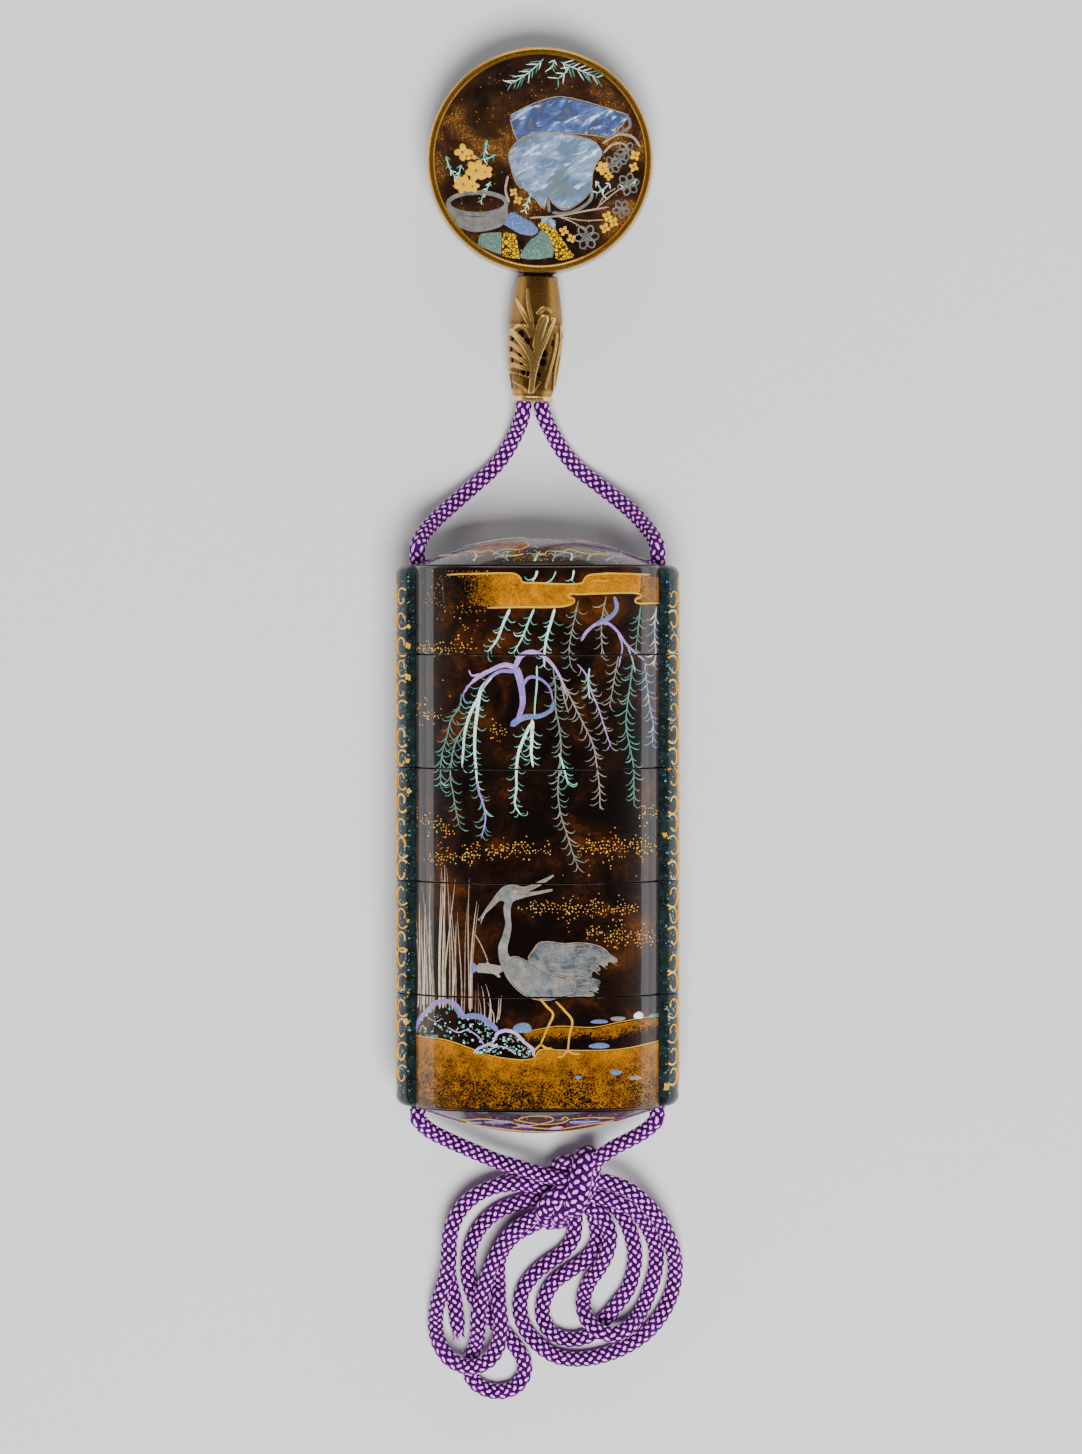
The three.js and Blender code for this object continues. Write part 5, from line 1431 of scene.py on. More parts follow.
SILVER, PEWTER = silver_shell(), pewter()
plumage = [
    patch(front, *HERON_TAIL, 8, 0.05, 0.55, 20), patch(front, *HERON_BODY, 9, 0.08, 0.62, 24),
    patch(front, *HERON_WING, 9, 0.12, 0.42, 34), patch(front, *HERON_HEAD, 6, 0.13, 0.6, 34),
    patch(front, *HERON_BILL, 5, 0.1, 0.7, 12),
]
plumage += [line_of(front, line, (width, width * 0.8), 0.46, 0.15, 0.14, 18) for line, width in FEATHER_TIPS]
neck_widths = np.interp(np.linspace(0, 8, 48), np.arange(9), HERON_NECK_WIDTHS)
plumage.append(strips(front, curve(HERON_NECK, 48)[None], neck_widths[None] / 2, 0.66, 0.12))
fine = [line_of(front, line, width, rise=0.14, taper=0.3) for line, width in HERON_LINES]
fine += [line_of(front, [(u, v - width * 0.42) for u, v in line], 0.12, rise=0.17, taper=0.3)
         for line, width in FEATHER_TIPS[:-1]]
fine += [line_of(front, line, 0.17, rise=0.19, taper=0.3) for line in WING_SHAFTS]
fine += [line_of(front, line, 0.13, rise=0.12, taper=0.3) for line in TAIL_SHAFTS]
fine += [line_of(front, line, 0.16, rise=0.18 if shape is HERON_WING else 0.14, taper=0.05)
         for shape in (HERON_BODY, HERON_WING, HERON_TAIL, HERON_HEAD, HERON_BILL) for line in shape]
inlay("heron_shell", plumage, SILVER)
inlay("heron_outlines", fine, PEWTER)
legs = [line_of(front, line, 0.42, rise=0.16, taper=0.1) for line in HERON_LEGS]
inlay("heron_legs", legs + [blob(front, (-3.7, -8.5), 0.32, 0.26, 0.5, 0.2)], GOLD)
blades = []
for surface in (front, back):
    blades += [reeds(surface, *tuft) for tuft in TUFTS]
inlay("reeds", blades, PEWTER)
stone, beds = [], []
for surface in (front, back):
    for upper, lower in ROCKS:
        beds.append(patch(surface, upper, lower, 8, 0.055, -0.4, 34))
        many = 130
        pick, share = rng.integers(3, 57, many), rng.uniform(0.08, 0.92, many)[:, None]
        top, foot = curve(upper, 60)[pick], curve(lower, 60)[pick]
        u, v = (foot + (top - foot) * share).T
        stone.append(flakes(surface, u, v, rng.uniform(0.08, 0.26, many),
                            rng.choice([0.26, 0.3, 0.36, 0.44, 0.5, 0.14], many), 0.085))
    stone += [line_of(surface, line, width, tone, 0.13, 0.08) for line, width, tone in ROCK_LINES]
    stone += [blob(surface, *one) for one in STONES]
stone += [line_of(front, line, width, tone, 0.1, 0.12) for line, width, tone in DRIFTWOOD]
inlay("rock_beds", beds, SPRINKLED)
inlay("rocks_and_stones", stone, SHELL)

# ==== Arabesque on the runners ====
# A running vine of gold scrolls down each runner over crumbs of green shell, edged with gold where
# the runner meets the oval, and dabs of gold leaf.

SCROLL_PITCH = 3.7
SCROLL_ROWS = (-3.9, 0.0, 3.9)  # round the runner from its middle
ARCS = np.linspace(-np.pi / 2, np.pi / 2, 721)
ARC_LENGTHS = np.concatenate([[0], np.cumsum(np.hypot(
    np.diff(RUNNER_REACH * np.cos(ARCS)), np.diff(RUNNER_HALF_DEPTH * np.sin(ARCS))))])
ARC_LENGTHS -= ARC_LENGTHS[-1] / 2


def runner(side):
    """A runner's surface over u, the way round it from its middle, and v, the way along it."""
    def surface(u, v):
        angle = np.interp(u, ARC_LENGTHS, ARCS)
        return np.stack([side * (RUNNER_CENTRE + RUNNER_REACH * np.cos(angle)) + 0 * v, v + 0 * u,
                         AXIS_HEIGHT - side * RUNNER_HALF_DEPTH * np.sin(angle) + 0 * v], -1)
    return surface


def scrolls(surface, row, flip):
    """A column of C scrolls: each a spiral of a turn whose radius shrinks from 1.75 to 0.6 mm, half
    of them turned over."""
    many = int(2 * (HALF_STACK - 2.2) / SCROLL_PITCH)
    middle = (np.arange(many) - (many - 1) / 2) * SCROLL_PITCH + rng.normal(0, 0.2, many)
    share = np.linspace(0, 1, 22)
    turned = np.where(rng.random(many) < 0.5, 1.0, -1.0)[:, None]
    angle = 2.3 - share * rng.uniform(4.6, 5.8, many)[:, None]
    reach = (1.75 - 1.15 * share ** 1.6) * rng.uniform(0.85, 1.1, many)[:, None]
    lines = np.stack([row + flip * reach * np.cos(angle),
                      middle[:, None] + turned * reach * np.sin(angle) * 1.05], -1)
    half = 0.19 * (1 - 0.35 * share) * rng.uniform(0.8, 1.25, many)[:, None]
    half = half + 0.07 * np.exp(-((share - 1) / 0.12) ** 2)
    return strips(surface, lines[:, ::-1] if flip < 0 else lines, half, 0.5, 0.12)


def edge_line(surface, row):
    """The gold line beside the scrolls: nearly straight, its width swelling and thinning."""
    v = np.linspace(-HALF_STACK + 1.8, HALF_STACK - 1.8, 260)
    u = row + 0.12 * np.sin(v * 2.3 + row) + 0.1 * np.sin(v * 0.7)
    half = 0.12 + 0.13 * np.sin(v * 0.53 + row) + 0.1 * np.sin(v * 1.9) + 0.08 * np.sin(v * 5.1)
    return strips(surface, np.stack([u, v], -1)[None], np.clip(half, 0.04, 0.5)[None], 0.5, 0.1)


scrollwork, crumbs = [], []
for side in (-1, 1):
    surface = runner(side)
    for row in SCROLL_ROWS:
        scrollwork.append(scrolls(surface, row, -side if row == 0 else -np.sign(row)))
    scrollwork += [edge_line(surface, row) for row in (-1.85, 1.85)]
    many = 22
    around = rng.choice([-2.2, 2.2, -5.4, 5.4], many) + rng.normal(0, 0.2, many)
    along, sizes = rng.uniform(-41, 41, many), rng.uniform(0.3, 0.7, many)
    scrollwork.append(flakes(surface, around, along, sizes, np.full(many, 0.5), 0.08))
    many = 1000
    around, along = rng.uniform(-5.6, 5.6, many), rng.uniform(-42.4, 42.4, many)
    sizes, tones = rng.uniform(0.08, 0.24, many), rng.choice([0.2, 0.26, 0.3, 0.36, 0.66], many)
    crumbs.append(flakes(surface, around, along, sizes, tones, 0.04))
inlay("runner_scrolls", scrollwork, GOLD)
inlay("runner_shell_crumbs", crumbs, SHELL)

# ==== Sprigs and clouds on the domes ====
# The same gold, shell and dust carried over the lid's crown and under the base, round the mouths
# of the cord's channels.

LID_CLOUDS = [  # upper line, lower line in u and v, tone
    ([(1.6, 6.4), (3.2, 7.3), (5.4, 6.4), (7.8, 7.2), (11.2, 5.4)], [(1.6, 5), (4, 3.2), (6.4, 3), (9, 3.2),
     (11.2, 4.6)], 0.78),
    ([(-13.6, 4.6), (-10.6, 7), (-6.6, 6.2), (-2.6, 8.4), (0.4, 8.2)], [(-13.6, 3.6), (-9.6, 3),
     (-5.6, 4.4), (-2, 5.6), (0.4, 7.2)], 0.35),
    ([(2, -2.4), (6.6, -1.2), (11.6, -2.6)], [(2, -4), (6.6, -6.4), (11.6, -4.4)], 0.9),
    ([(-12.8, -2.8), (-7.6, -1.4), (-3, -3.2)], [(-12.8, -4.6), (-7.6, -6.8), (-3, -5)], 0.6),
]
LID_LINES = [
    [(11.6, 6), (9.2, 7.4), (7.8, 7), (6.9, 8), (5.2, 7.2), (3.2, 7.6), (1.4, 6.2), (2, 4.8)],
    [(0.6, 8.9), (-1.2, 8.9), (-1.5, 8.2), (-4.4, 8), (-4.8, 7.4), (-8.2, 8.2), (-12, 7.2)],
    [(6, 9), (3.6, 9.2), (2.2, 8.8)],
    [(16, 4.2), (14, 6), (12.8, 7.4)],
    [(11.6, -3.4), (8.8, -0.8), (5, -1.8), (1.6, -3.2)],
    [(-2.6, -4.4), (-6.8, -1), (-11, -2), (-13.4, -3.8)],
]
LID_STEMS = [  # knots, tone, width, tone of leaves
    ([(0.5, 10.6), (0.1, 9.4), (-0.4, 8.2)], 0.5, (0.55, 0.3), 0.36),
    ([(-2.4, 10.6), (-2.8, 9.2), (-3, 7.6)], 0.62, (0.4, 0.25), 0.44),
    ([(-5.4, 10.3), (-5.6, 9.2), (-5.4, 8.2)], 0.52, (0.5, 0.3), 0.36),
    ([(-8, 10), (-8.6, 8.4), (-10.2, 7.4)], 0.4, (0.35, 0.25), 0.3),
    ([(-11, 9.4), (-12.4, 7.6), (-14.6, 6.6)], 0.86, (0.4, 0.25), 0.84),
    ([(4.6, 10.4), (5.8, 9), (6.6, 8)], 0.64, (0.4, 0.25), 0.44),
    ([(10.4, 9.6), (9.8, 8.4), (10.2, 7.2)], 0.56, (0.35, 0.2), 0.14),
    ([(-6, 3), (-9, 1.4), (-12.6, 1.6)], 0.84, (0.6, 0.3), 0.88),
    ([(2, 1.6), (5.4, 0.6), (9.4, 1.2), (12, 0.2)], 0.5, (0.5, 0.3), 0.36),
    ([(3, -7.6), (0, -6.8), (-2.6, -8.2)], 0.5, (0.5, 0.3), 0.36),
]
BASE_PATCHES = [  # middle, half sizes before shrinking, tone, lean
    ((-6.4, 8), (3, 1), 0.7, 0.25), ((-2, 7), (1.8, 0.9), 0.82, -0.3), ((7.6, 7.8), (3.6, 0.9), 0.68, -0.2),
    ((3, 6.2), (1.6, 0.8), 0.9, 0.3), ((-10.4, 6.4), (2.2, 0.7), 0.64, 0.5),
    ((11.6, 5.4), (2.2, 0.7), 0.74, -0.5), ((-5, -5.8), (3.2, 1.2), 0.7, 0.2),
    ((5.4, -6.4), (3, 1.1), 0.84, -0.2), ((0, 1.6), (3.8, 1.3), 0.66, 0.1),
    ((-9, 0.6), (2.6, 1), 0.48, -0.3), ((8.6, 0), (2.8, 1), 0.5, 0.3),
]
BASE_LINES = [
    [(-3.4, 9), (-2.4, 10), (0, 10.4), (2.2, 10), (2.6, 9.2), (1, 8.2), (-1.6, 7.2), (-4, 6.4)],
    [(3.6, 9.2), (4.6, 10), (5, 9.2), (4.2, 8.4), (1.4, 7.8), (-1.2, 8.4), (-3.8, 9.4)],
    [(-12.6, 6.6), (-8.6, 8.8), (-4.6, 8.4), (-0.8, 6.6), (3.2, 5.6), (7.6, 6.6), (12.4, 6.4)],
    [(5.6, 9.4), (9, 9.2), (12.6, 7.6)],
    [(-13, 4.2), (-8, 5.4), (-2, 4.4), (4, 3.4), (10, 4.6), (13.6, 3.8)],
    [(-13, -3.4), (-7.6, -4.2), (-1.6, -3), (4.6, -4.2), (12.6, -3.4)],
    [(-9, -8.2), (-3, -7.4), (3, -8.4), (9, -7.8)],
]


def dome(side):
    """A dome over u, across it as one faces it, and v, up its depth: its height past the shoulder
    is 4.6 (1 - s^2), s being the oval's share (|u/w|^n + |v/d|^n) to the power 1/n."""
    def surface(u, v):
        share = (np.abs(u / HALF_WIDTH) ** OVALNESS + np.abs(v / HALF_DEPTH) ** OVALNESS) ** (1 / OVALNESS)
        rise = DOME_RISE * (1 - np.minimum(share, 1) ** 2)
        return np.stack([-side * u, side * (HALF_STACK + rise), AXIS_HEIGHT + v + 0 * u], -1)
    return surface


def dome_dust(surface, many, tones):
    """Fine flakes over a dome, clear of the channels' mouths."""
    turn, share = rng.uniform(0, 2 * np.pi, many), np.sqrt(rng.uniform(0.01, 0.86, many))
    reach = oval_reach(turn, HALF_WIDTH, HALF_DEPTH) * share
    u, v = reach * np.cos(turn), reach * np.sin(turn)
    clear = np.hypot(np.abs(u) - CHANNEL_X, v) > 3.2
    many = clear.sum()
    return flakes(surface, u[clear], v[clear], rng.uniform(0.05, 0.15, many), rng.uniform(*tones, many))


lid_dome, base_dome = dome(1), dome(-1)
inlay("dome_clouds", [patch(lid_dome, upper, lower, 8, 0.05, tone, 40) for upper, lower, tone in LID_CLOUDS],
      SPRINKLED, seams=False)
rims = [line_of(lid_dome, line, 0.24, rise=0.12, taper=0.06, count=60) for line in LID_LINES]
rims += [line_of(base_dome, line, 0.18, rise=0.09, taper=0.1, count=70) for line in BASE_LINES]
inlay("dome_gold_lines", rims, GOLD, seams=False)
sprigs = []
for knots, tone, width, leaf in LID_STEMS:
    sprigs += [line_of(lid_dome, knots, width, tone, 0.08, 0.12), leaflets(lid_dome, knots, leaf, 0.8)]
sprigs += [blob(base_dome, middle, half[0] * 0.8, half[1] * 0.7, tone, 0.06, lean)
           for middle, half, tone, lean in BASE_PATCHES]
inlay("dome_shell", sprigs, SHELL, seams=False)
inlay("dome_dust", [dome_dust(lid_dome, 900, (0.0, 0.6)), dome_dust(base_dome, 450, (0.0, 0.4))],
      FLAKE, seams=False)

# ==== Picture on the netsuke ====
# A vessel of blue-silver shell on a rocky bank, a basin with yellow flowers, pine needles above
# and sprays of blossom to the right, inlaid and painted in gold on the raised face.

VESSEL_TOP = (
    [(-4.9, 7.2), (-0.8, 9.2), (2.9, 10.2), (6.7, 9.6), (10.6, 8.5), (14.5, 7.3)],
    [(-4.9, 6.6), (-3.5, 3.1), (-0.8, 4.3), (3.9, 4.3), (9, 3.9), (11.1, 3.7), (13.2, 5.4), (14.5, 7.1)],
)
VESSEL_BOWL = (
    [(-5.1, 0.8), (-4.6, 1.9), (-3.5, 3.1), (-0.8, 4.3), (2.2, 4.5), (6.2, 3.8), (9, 2.8), (10.2, 1.2)],
    [(-5.1, 0.2), (-4.1, -3), (-2.2, -5.1), (-0.8, -6.4), (0.6, -7.9), (1.3, -5.9), (2.2, -7.2),
     (3.9, -8.2), (6.2, -7.2), (8.2, -5.1), (8.6, -2.3), (9.2, -0.7), (10.2, 0.9)],
)
VESSEL_SHADE = ([(-4.7, -1.6), (-3.9, -2.4), (-2.8, -3.8)], [(-4.7, -2.0), (-3.9, -4.0), (-2.8, -5.2)])
VESSEL_EDGES = [
    [(8.4, -4.4), (8.3, -6.4), (6.4, -8), (3.9, -8.8), (1.9, -8.6)],
    [(14.5, 7), (14.6, 5.4), (12.6, 4.2), (10.6, 3.2)],
    [(1.3, -6.2), (1.5, -8.6)],
]
BASIN = (
    [(-15.4, -6.8), (-14.4, -8.2), (-12.4, -9), (-10.2, -9.2), (-8, -8.9), (-6.2, -8.1), (-5.2, -7.2)],
    [(-15.4, -7.2), (-14.6, -9.6), (-13.2, -11), (-11.1, -11.8), (-8.4, -11.6), (-6, -10.7), (-5.2, -9)],
)
BASIN_RIM = (-10.2, -7.1, 4.75, 1.75)
GREY_ROCKS = [  # upper line, lower line, tone
    ([(-9.8, -12), (-8, -11.7), (-6.2, -11.6)], [(-10.3, -13.9), (-8, -15), (-6.2, -15.7)], 0.22),
    ([(-5.9, -9.4), (-4.4, -8.4), (-3, -9.2), (-1.2, -10.2), (-0.2, -11.4)], [(-5.9, -10.6), (-4.4, -11.6),
     (-3, -12.3), (-1.2, -12.4), (-0.2, -11.8)], 0.66),
    ([(-3.3, -15.4), (-1.8, -13.2), (-0.4, -12), (1.2, -9.8), (2.4, -9.8)], [(-3.3, -16), (-1.8, -16.35),
     (-0.4, -16.4), (1.2, -16.3), (2.4, -16.2)], 0.23),
    ([(0.2, -9.6), (1.2, -9.3), (2.6, -9.9)], [(0.2, -10.4), (1.2, -11), (2.6, -12.4)], 0.62),
]
GOLD_PATHS = [
    ([(-6.2, -11.7), (-4.6, -11.9), (-3.9, -12.1)], [(-6.2, -15.7), (-4.6, -16.1), (-3.1, -16.3)]),
    ([(-0.4, -10.3), (0.6, -10.2), (1.8, -10.6), (4.2, -13.6), (5.6, -15.6)], [(-0.4, -10.8), (0.8, -11.9),
     (2.2, -14.2), (2.8, -16.3), (5.6, -15.9)]),
]
PALE_STEMS = [
    ([(-1.8, -9.5), (2.9, -9.2), (7.2, -8.4), (11.3, -7.7)], 0.34),
    ([(2.9, -9.2), (5.4, -10.2), (7.6, -11.6)], 0.26),
    ([(3.4, -9.3), (7, -9.9), (10.4, -9.8)], 0.22),
    ([(9.2, -7.9), (11.6, -5.8), (13.7, -4.3)], 0.26),
    ([(9.4, -8), (10.4, -6), (12.4, -4.6)], 0.2),
    ([(10.2, 2.6), (12.8, 4.1), (15.2, 3.6), (16.4, 2)], 0.5),
    ([(10.3, 1), (11.8, 2.4), (13.6, 2.6), (14.6, 1.4)], 0.42),
    ([(-5.2, -2.6), (-5.6, -5), (-5, -7)], 0.5),
]
YELLOW_BLOSSOMS = [  # middle, radius, petals
    ((-12.6, 1.2), 1.35, 4), ((-11.2, 0.6), 0.9, 3), ((-10.4, -1.8), 1.7, 6), ((-8.9, -2), 1.2, 5),
    ((-12.5, -4), 1.5, 6), ((-11, -4.4), 1.1, 5), ((-4.3, -5.3), 0.7, 4), ((-3.6, -6.6), 0.75, 4),
    ((15.5, 0.7), 0.9, 4), ((15.3, -1.2), 0.8, 4), ((10.2, -1.4), 1.1, 5), ((11.2, -2.7), 0.75, 4),
    ((11, -9.2), 0.85, 4), ((12, -10.2), 0.85, 4), ((10.6, -11.1), 0.85, 4), ((3.9, -11.6), 0.8, 4),
    ((5.1, -12.8), 0.75, 4),
]
GREY_BLOSSOMS = [
    ((11.6, -1), 1.4, 5), ((14, 1.4), 1.5, 5), ((14.4, -4), 1.7, 6), ((13.3, -8), 1.4, 5),
    ((7.6, -12.6), 1.9, 6), ((12.9, 0), 1.2, 5),
]
NEEDLE_SPRAYS = [  # stem, and how long its needles are
    ([(0.6, 16.4), (-0.6, 15.2), (-2.6, 13.6), (-4.6, 12.4)], 1.9),
    ([(2.4, 16.3), (2.2, 15.6), (2, 15)], 1.3),
    ([(3.4, 15.9), (4.8, 15.2), (6.4, 14.6), (9.2, 13.4)], 1.9),
    ([(4.8, 15.1), (4, 14), (3, 13.2)], 1.7),
    ([(-8.6, 3.2), (-8.9, 1.6), (-9.2, 0.2)], 1.2),
    ([(-7.2, 0.8), (-8.4, 0.2), (-9.6, 0)], 1.1),
    ([(-15.3, 0.6), (-14.8, -1.2), (-13.9, -2.8)], 0.9),
    ([(-12.8, -0.8), (-13.2, -2.2), (-13.4, -3.2)], 0.9),
    ([(-8, -3.6), (-8.8, -5), (-9.6, -6.6)], 0.8),
    ([(-1.2, -5.2), (-1.9, -6.6), (-2.4, -8.2)], 0.9),
    ([(9, -3.4), (9.8, -4.6), (10.4, -6)], 0.9),
    ([(11.4, -3.8), (10.4, -4.8), (9.4, -5.4)], 0.9),
    ([(15.8, -3.2), (14.8, -4), (13.6, -4.4)], 0.9),
]


def face(u, v):
    """The netsuke's face over places from its middle."""
    return np.stack([NETSUKE_CENTRE[0] + u, NETSUKE_CENTRE[1] + v, face_height(np.hypot(u, v))], -1)


def needles(surface, knots, long):
    """Needles to both sides of a twig, slanting back from its tip."""
    line = curve(knots, 200)
    way = np.gradient(line, axis=0)
    way /= np.linalg.norm(way, axis=1, keepdims=True)
    span = np.linalg.norm(np.diff(line, axis=0), axis=1).sum()
    many = max(3, int(span / 0.78))
    at = np.clip((np.linspace(0.06, 1, many) * 199 + rng.normal(0, 4, many)).astype(int), 0, 199)
    at, side = np.tile(at, 2), np.repeat([-1.0, 1.0], many)
    slant = rng.uniform(0.45, 0.95, len(at))[:, None]
    out = np.stack([way[at, 1], -way[at, 0]], -1) * side[:, None] * np.sin(slant) + way[at] * np.cos(slant)
    share = np.linspace(0, 1, 4)[None, :, None]
    lines = line[at][:, None] + out[:, None] * share * (long * rng.uniform(0.7, 1.15, len(at)))[:, None, None]
    half = np.array([0.06, 0.12, 0.12, 0.04]) * np.ones((len(at), 1))
    return strips(surface, lines, half, rng.choice([0.3, 0.36, 0.52, 0.56], len(at))[:, None], 0.06)


def blossom(surface, middle, radius, petals):
    """Petals set round a small boss."""
    turn = rng.uniform(0, 6.28) + np.arange(petals) * 2 * np.pi / petals
    out = radius * 0.55
    return [blob(surface, (middle[0] + out * math.cos(t), middle[1] + out * math.sin(t)),
                 radius * 0.52, radius * 0.4, 0.5, 0.16, t) for t in turn]


def open_blossom(surface, middle, radius, petals):
    """The same flower in outline: one loop to a petal, an oval leaning out from the boss."""
    turn = (rng.uniform(0, 6.28) + np.arange(petals) * 2 * np.pi / petals)[:, None]
    loop = np.linspace(0, 2 * np.pi, 19)[None]
    u, v = radius * 0.5 * np.cos(loop) + radius * 0.55, radius * 0.32 * np.sin(loop)
    lines = np.stack([middle[0] + u * np.cos(turn) - v * np.sin(turn),
                      middle[1] + u * np.sin(turn) + v * np.cos(turn)], -1)
    return strips(surface, lines, np.full(lines.shape[:2], 0.15), 0.5, 0.14)


def abalone():
    """Blue and silver shell: slanting silky streaks, cloudy patches of violet, and near-white painted
    highlights where the streaks and clouds run high.
    """
    look = Recipe("abalone", Coat_Weight=1.0, Coat_Roughness=0.04, Specular_IOR_Level=0.7)
    tone = look.tone()
    streak = look.noise(1.0, 4, 0.62, 0.6, place=look.turned(-0.5, (380, 1250, 800)))
    cloud = look.noise(1.0, 3, 0.55, 0.8, place=look.turned(-0.5, (190, 300, 200)))
    pale = look.ramp(cloud, [
        (0.34, 0.14, 0.18, 0.2), (0.46, 0.12, 0.21, 0.34), (0.56, 0.28, 0.37, 0.5),
        (0.66, 0.12, 0.2, 0.34), (0.74, 0.16, 0.3, 0.28),
    ])
    deep = look.ramp(cloud, [
        (0.36, 0.09, 0.09, 0.1), (0.46, 0.035, 0.045, 0.13), (0.56, 0.06, 0.1, 0.3),
        (0.66, 0.11, 0.34, 0.54), (0.74, 0.22, 0.2, 0.4),
    ])
    hue = look.mix(tone, pale, deep)
    # painted highlights: near-white where the streaks and clouds run high
    shell_with_painted_highlights = look.mix(look.fade(streak * 0.65 + cloud * 0.35, 0.53, 0.66, 0, 0.9), hue, (0.86, 0.91, 1.0))
    look.feed(Base_Color=look.mix(look.fade(streak, 0.3, 0.46, 0.5, 0), shell_with_painted_highlights, (0.06, 0.07, 0.11)),
                Roughness=look.fade(streak, 0.3, 0.7, 0.3, 0.18))
    return look.bump(streak, 0.00001, 0.4)


def pitted_gold():
    """Grains of yellow gold set close together on the dark lacquer."""
    look = Recipe("pitted gold", Metallic=0.3, Roughness=0.42, Coat_Weight=0.4)
    dent = look.fade(look.cells(1.7, "DISTANCE_TO_EDGE", randomness=0.8), 0.06, 0.17)
    look.feed(Base_Color=look.mix(dent, (0.03, 0.014, 0.002), (0.95, 0.52, 0.0)))
    return look.bump(dent, 0.00004, 0.6)


def stone_grey():
    """Grey powdered pewter, clouded with blue and brown."""
    look = Recipe("grey powder", Metallic=0.2, Coat_Weight=0.5, Coat_Roughness=0.1)
    cloud = look.noise(0.6, 3, 0.6)
    grain = look.noise(4.0, 3, 0.7)
    look.feed(Base_Color=look.ramp(cloud * 0.6 + grain * 0.4, [
        (0.32, 0.075, 0.08, 0.085), (0.5, 0.17, 0.16, 0.15), (0.68, 0.27, 0.26, 0.245),
    ]), Roughness=look.fade(grain, 0.3, 0.7, 0.36, 0.5))
    return look.bump(grain, 0.00001, 0.4)


ABALONE, PITTED, GREY = abalone(), pitted_gold(), stone_grey()
YELLOW_GOLD = gold("yellow gold", (0.88, 0.5, 0.0), (0.74, 0.35, 0.0), 0.45, 0.1)
turns = np.linspace(0, 2 * np.pi, 49)
rim_u, rim_v, rim_a, rim_b = BASIN_RIM
rim_line = np.stack([rim_u + rim_a * np.cos(turns[::-1]), rim_v + rim_b * np.sin(turns[::-1])], -1)


def on_face(name, grids, finish):
    """An inlay on the netsuke's face, which has no seams."""
    inlay(name, grids, finish, seams=False)


vessel = [patch(face, *VESSEL_TOP, 10, 0.1, 0.9, 50), patch(face, *VESSEL_BOWL, 14, 0.16, 0.2, 60)]
on_face("netsuke_vessel", vessel, ABALONE)
basin = [patch(face, *BASIN, 8, 0.1, 0.5, 30)]
basin.append(strips(face, rim_line[None], np.full((1, len(rim_line)), 0.42), 0.5, 0.18))
basin.append(patch(face, *VESSEL_SHADE, 5, 0.18, 0.5, 8))
basin += [line_of(face, line, 0.7, rise=0.09, taper=0.1) for line in VESSEL_EDGES]
basin += [open_blossom(face, *flower) for flower in GREY_BLOSSOMS]
on_face("netsuke_basin", basin, GREY)
shells = [patch(face, upper, lower, 7, 0.07, tone, 16) for upper, lower, tone in GREY_ROCKS]
shells += [needles(face, knots, long) for knots, long in NEEDLE_SPRAYS]
shells += [line_of(face, knots, 0.3, 0.44, 0.08) for knots, _ in NEEDLE_SPRAYS]
on_face("netsuke_shell", shells, SHELL)
on_face("netsuke_gold_paths", [patch(face, *path, 8, 0.12, 0.5, 16) for path in GOLD_PATHS], PITTED)
petals = [petal for flower in YELLOW_BLOSSOMS for petal in blossom(face, *flower)]
on_face("netsuke_blossoms", petals, YELLOW_GOLD)
stems = [line_of(face, line, width, rise=0.13, taper=0.1) for line, width in PALE_STEMS]
stems += [line_of(face, line, 0.16, rise=0.2, taper=0.03) for line in VESSEL_TOP + VESSEL_BOWL]
stems += [blob(face, middle, 0.22, 0.22, 0.1, 0.24) for middle, _, _ in YELLOW_BLOSSOMS + GREY_BLOSSOMS]
on_face("netsuke_stems", stems, PEWTER)
many = 420
turn, away = rng.uniform(0, 2 * np.pi, many), np.sqrt(rng.random(many)) * 16.4
dust = flakes(face, away * np.cos(turn), away * np.sin(turn),
              rng.uniform(0.03, 0.11, many), rng.uniform(0, 0.8, many))
on_face("netsuke_dust", [dust], FLAKE)

# ==== Floor and light ====
# A plain pale floor under a large soft light, a long box of light to each side and a small one
# beyond the netsuke, in a room that is dim straight above and brighter all round.

FLOOR_HALF = 3.0


def plain(name, colour, roughness):
    """One colour with the faintest change over the surface."""
    look = Recipe(name, Roughness=roughness)
    cloud = look.noise(0.01)
    darker = [c * 0.97 for c in colour]
    look.feed(Base_Color=look.mix(cloud, darker, colour))
    return look.material


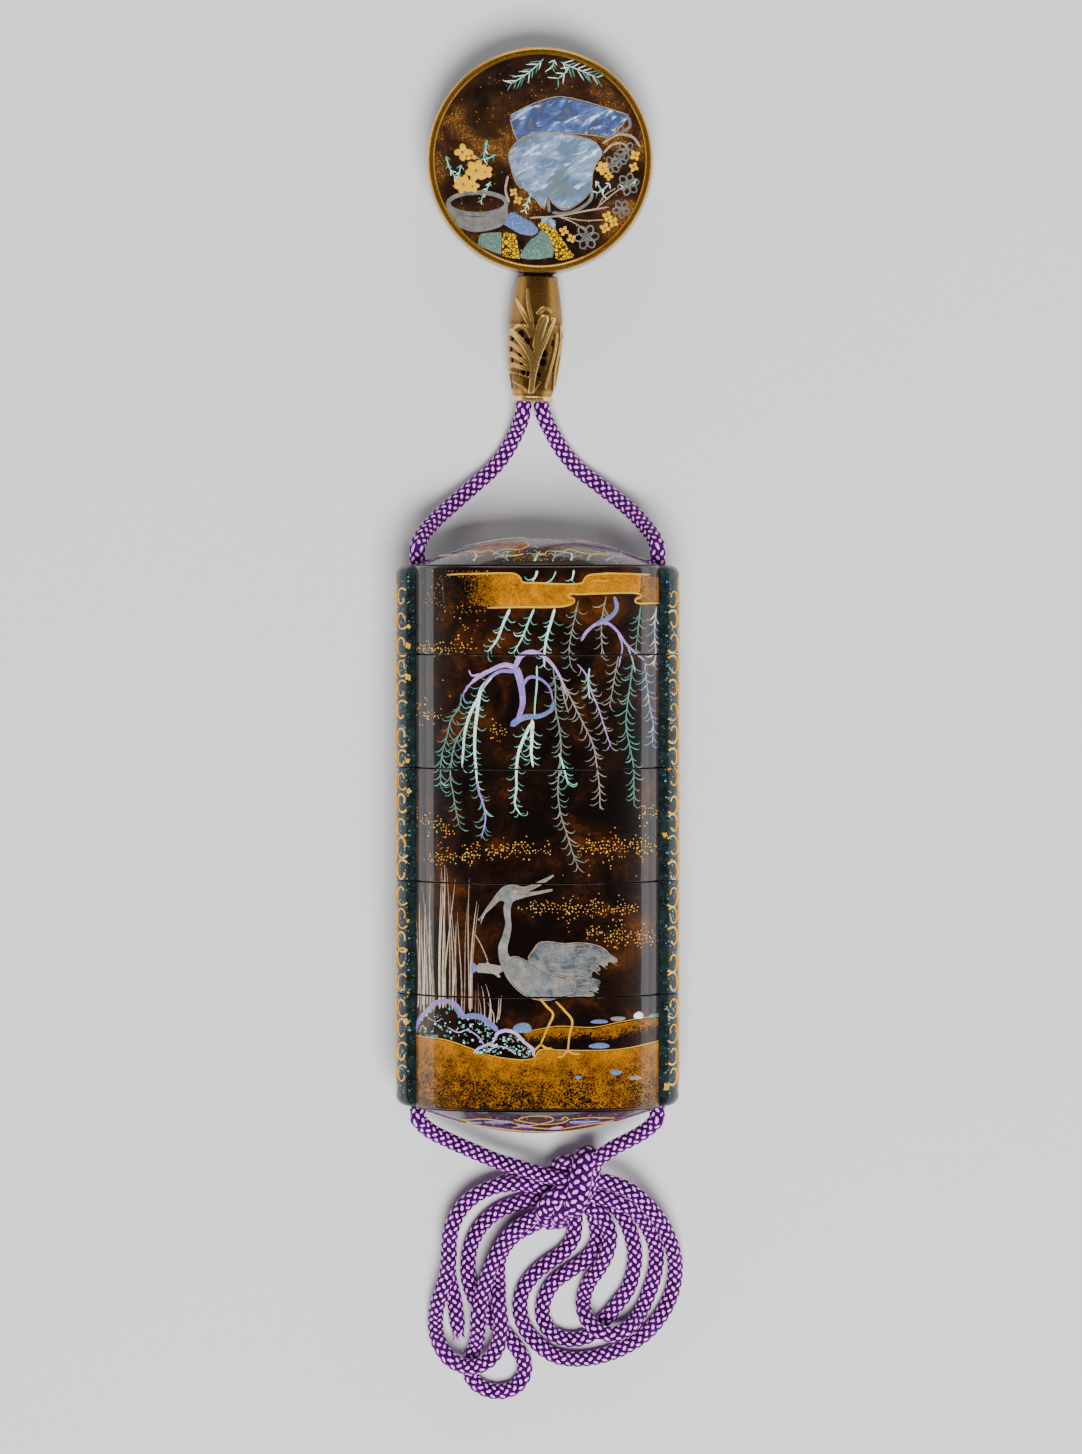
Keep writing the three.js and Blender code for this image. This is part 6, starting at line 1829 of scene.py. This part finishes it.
floor_mesh = bpy.data.meshes.new("floor")
corners = [(x * FLOOR_HALF, y * FLOOR_HALF, 0) for x, y in ((-1, -1), (1, -1), (1, 1), (-1, 1))]
floor_mesh.from_pydata(corners, [], [(0, 1, 2, 3)])
floor_mesh.materials.append(plain("pale floor", (0.72, 0.72, 0.725), 0.85))
floor = bpy.data.objects.new("floor", floor_mesh)
bpy.context.collection.objects.link(floor)


def soft_light(name, place, aim, size, power, glossy=True):
    """A rectangular soft box at a place, turned to its aim."""
    data = bpy.data.lights.new(name, "AREA")
    data.shape = "RECTANGLE"
    data.size, data.size_y = size
    data.energy = power
    box = bpy.data.objects.new(name, data)
    box.location = place
    way = np.array(aim, float) - np.array(place, float)
    box.rotation_euler = (math.atan2(np.hypot(way[0], way[1]), -way[2]), 0, math.atan2(-way[0], way[1]))
    box.visible_glossy = glossy
    bpy.context.collection.objects.link(box)


MIDDLE = (0, 0.015, 0.01)
soft_light("soft_light_above", (0.1, -0.5, 1.15), MIDDLE, (0.6, 0.6), 31, glossy=False)
for side_name, x in (("left", -1.0), ("right", 1.0)):
    soft_light(f"soft_light_{side_name}", (x, 0.02, 0.165), (0, 0.02, 0.165), (2.2, 0.33), 4.6)
soft_light("soft_light_far", (0, 0.65, 0.3), MIDDLE, (0.5, 0.25), 1.6)

world = bpy.data.worlds.new("studio")
world.use_nodes = True
nodes, links = world.node_tree.nodes, world.node_tree.links
height = nodes.new("ShaderNodeSeparateXYZ")
links.new(nodes.new("ShaderNodeTexCoord").outputs["Generated"], height.inputs[0])
overhead = nodes.new("ShaderNodeMapRange")              # dim straight above, brighter at the sides
for socket, value in zip(("From Min", "From Max", "To Min", "To Max"), (0.35, 0.85, 0.2, 0.03)):
    overhead.inputs[socket].default_value = value
links.new(height.outputs["Z"], overhead.inputs["Value"])
links.new(overhead.outputs["Result"], nodes["Background"].inputs["Strength"])
nodes["Background"].inputs["Color"].default_value = (0.92, 0.94, 0.97, 1)
bpy.context.scene.world = world
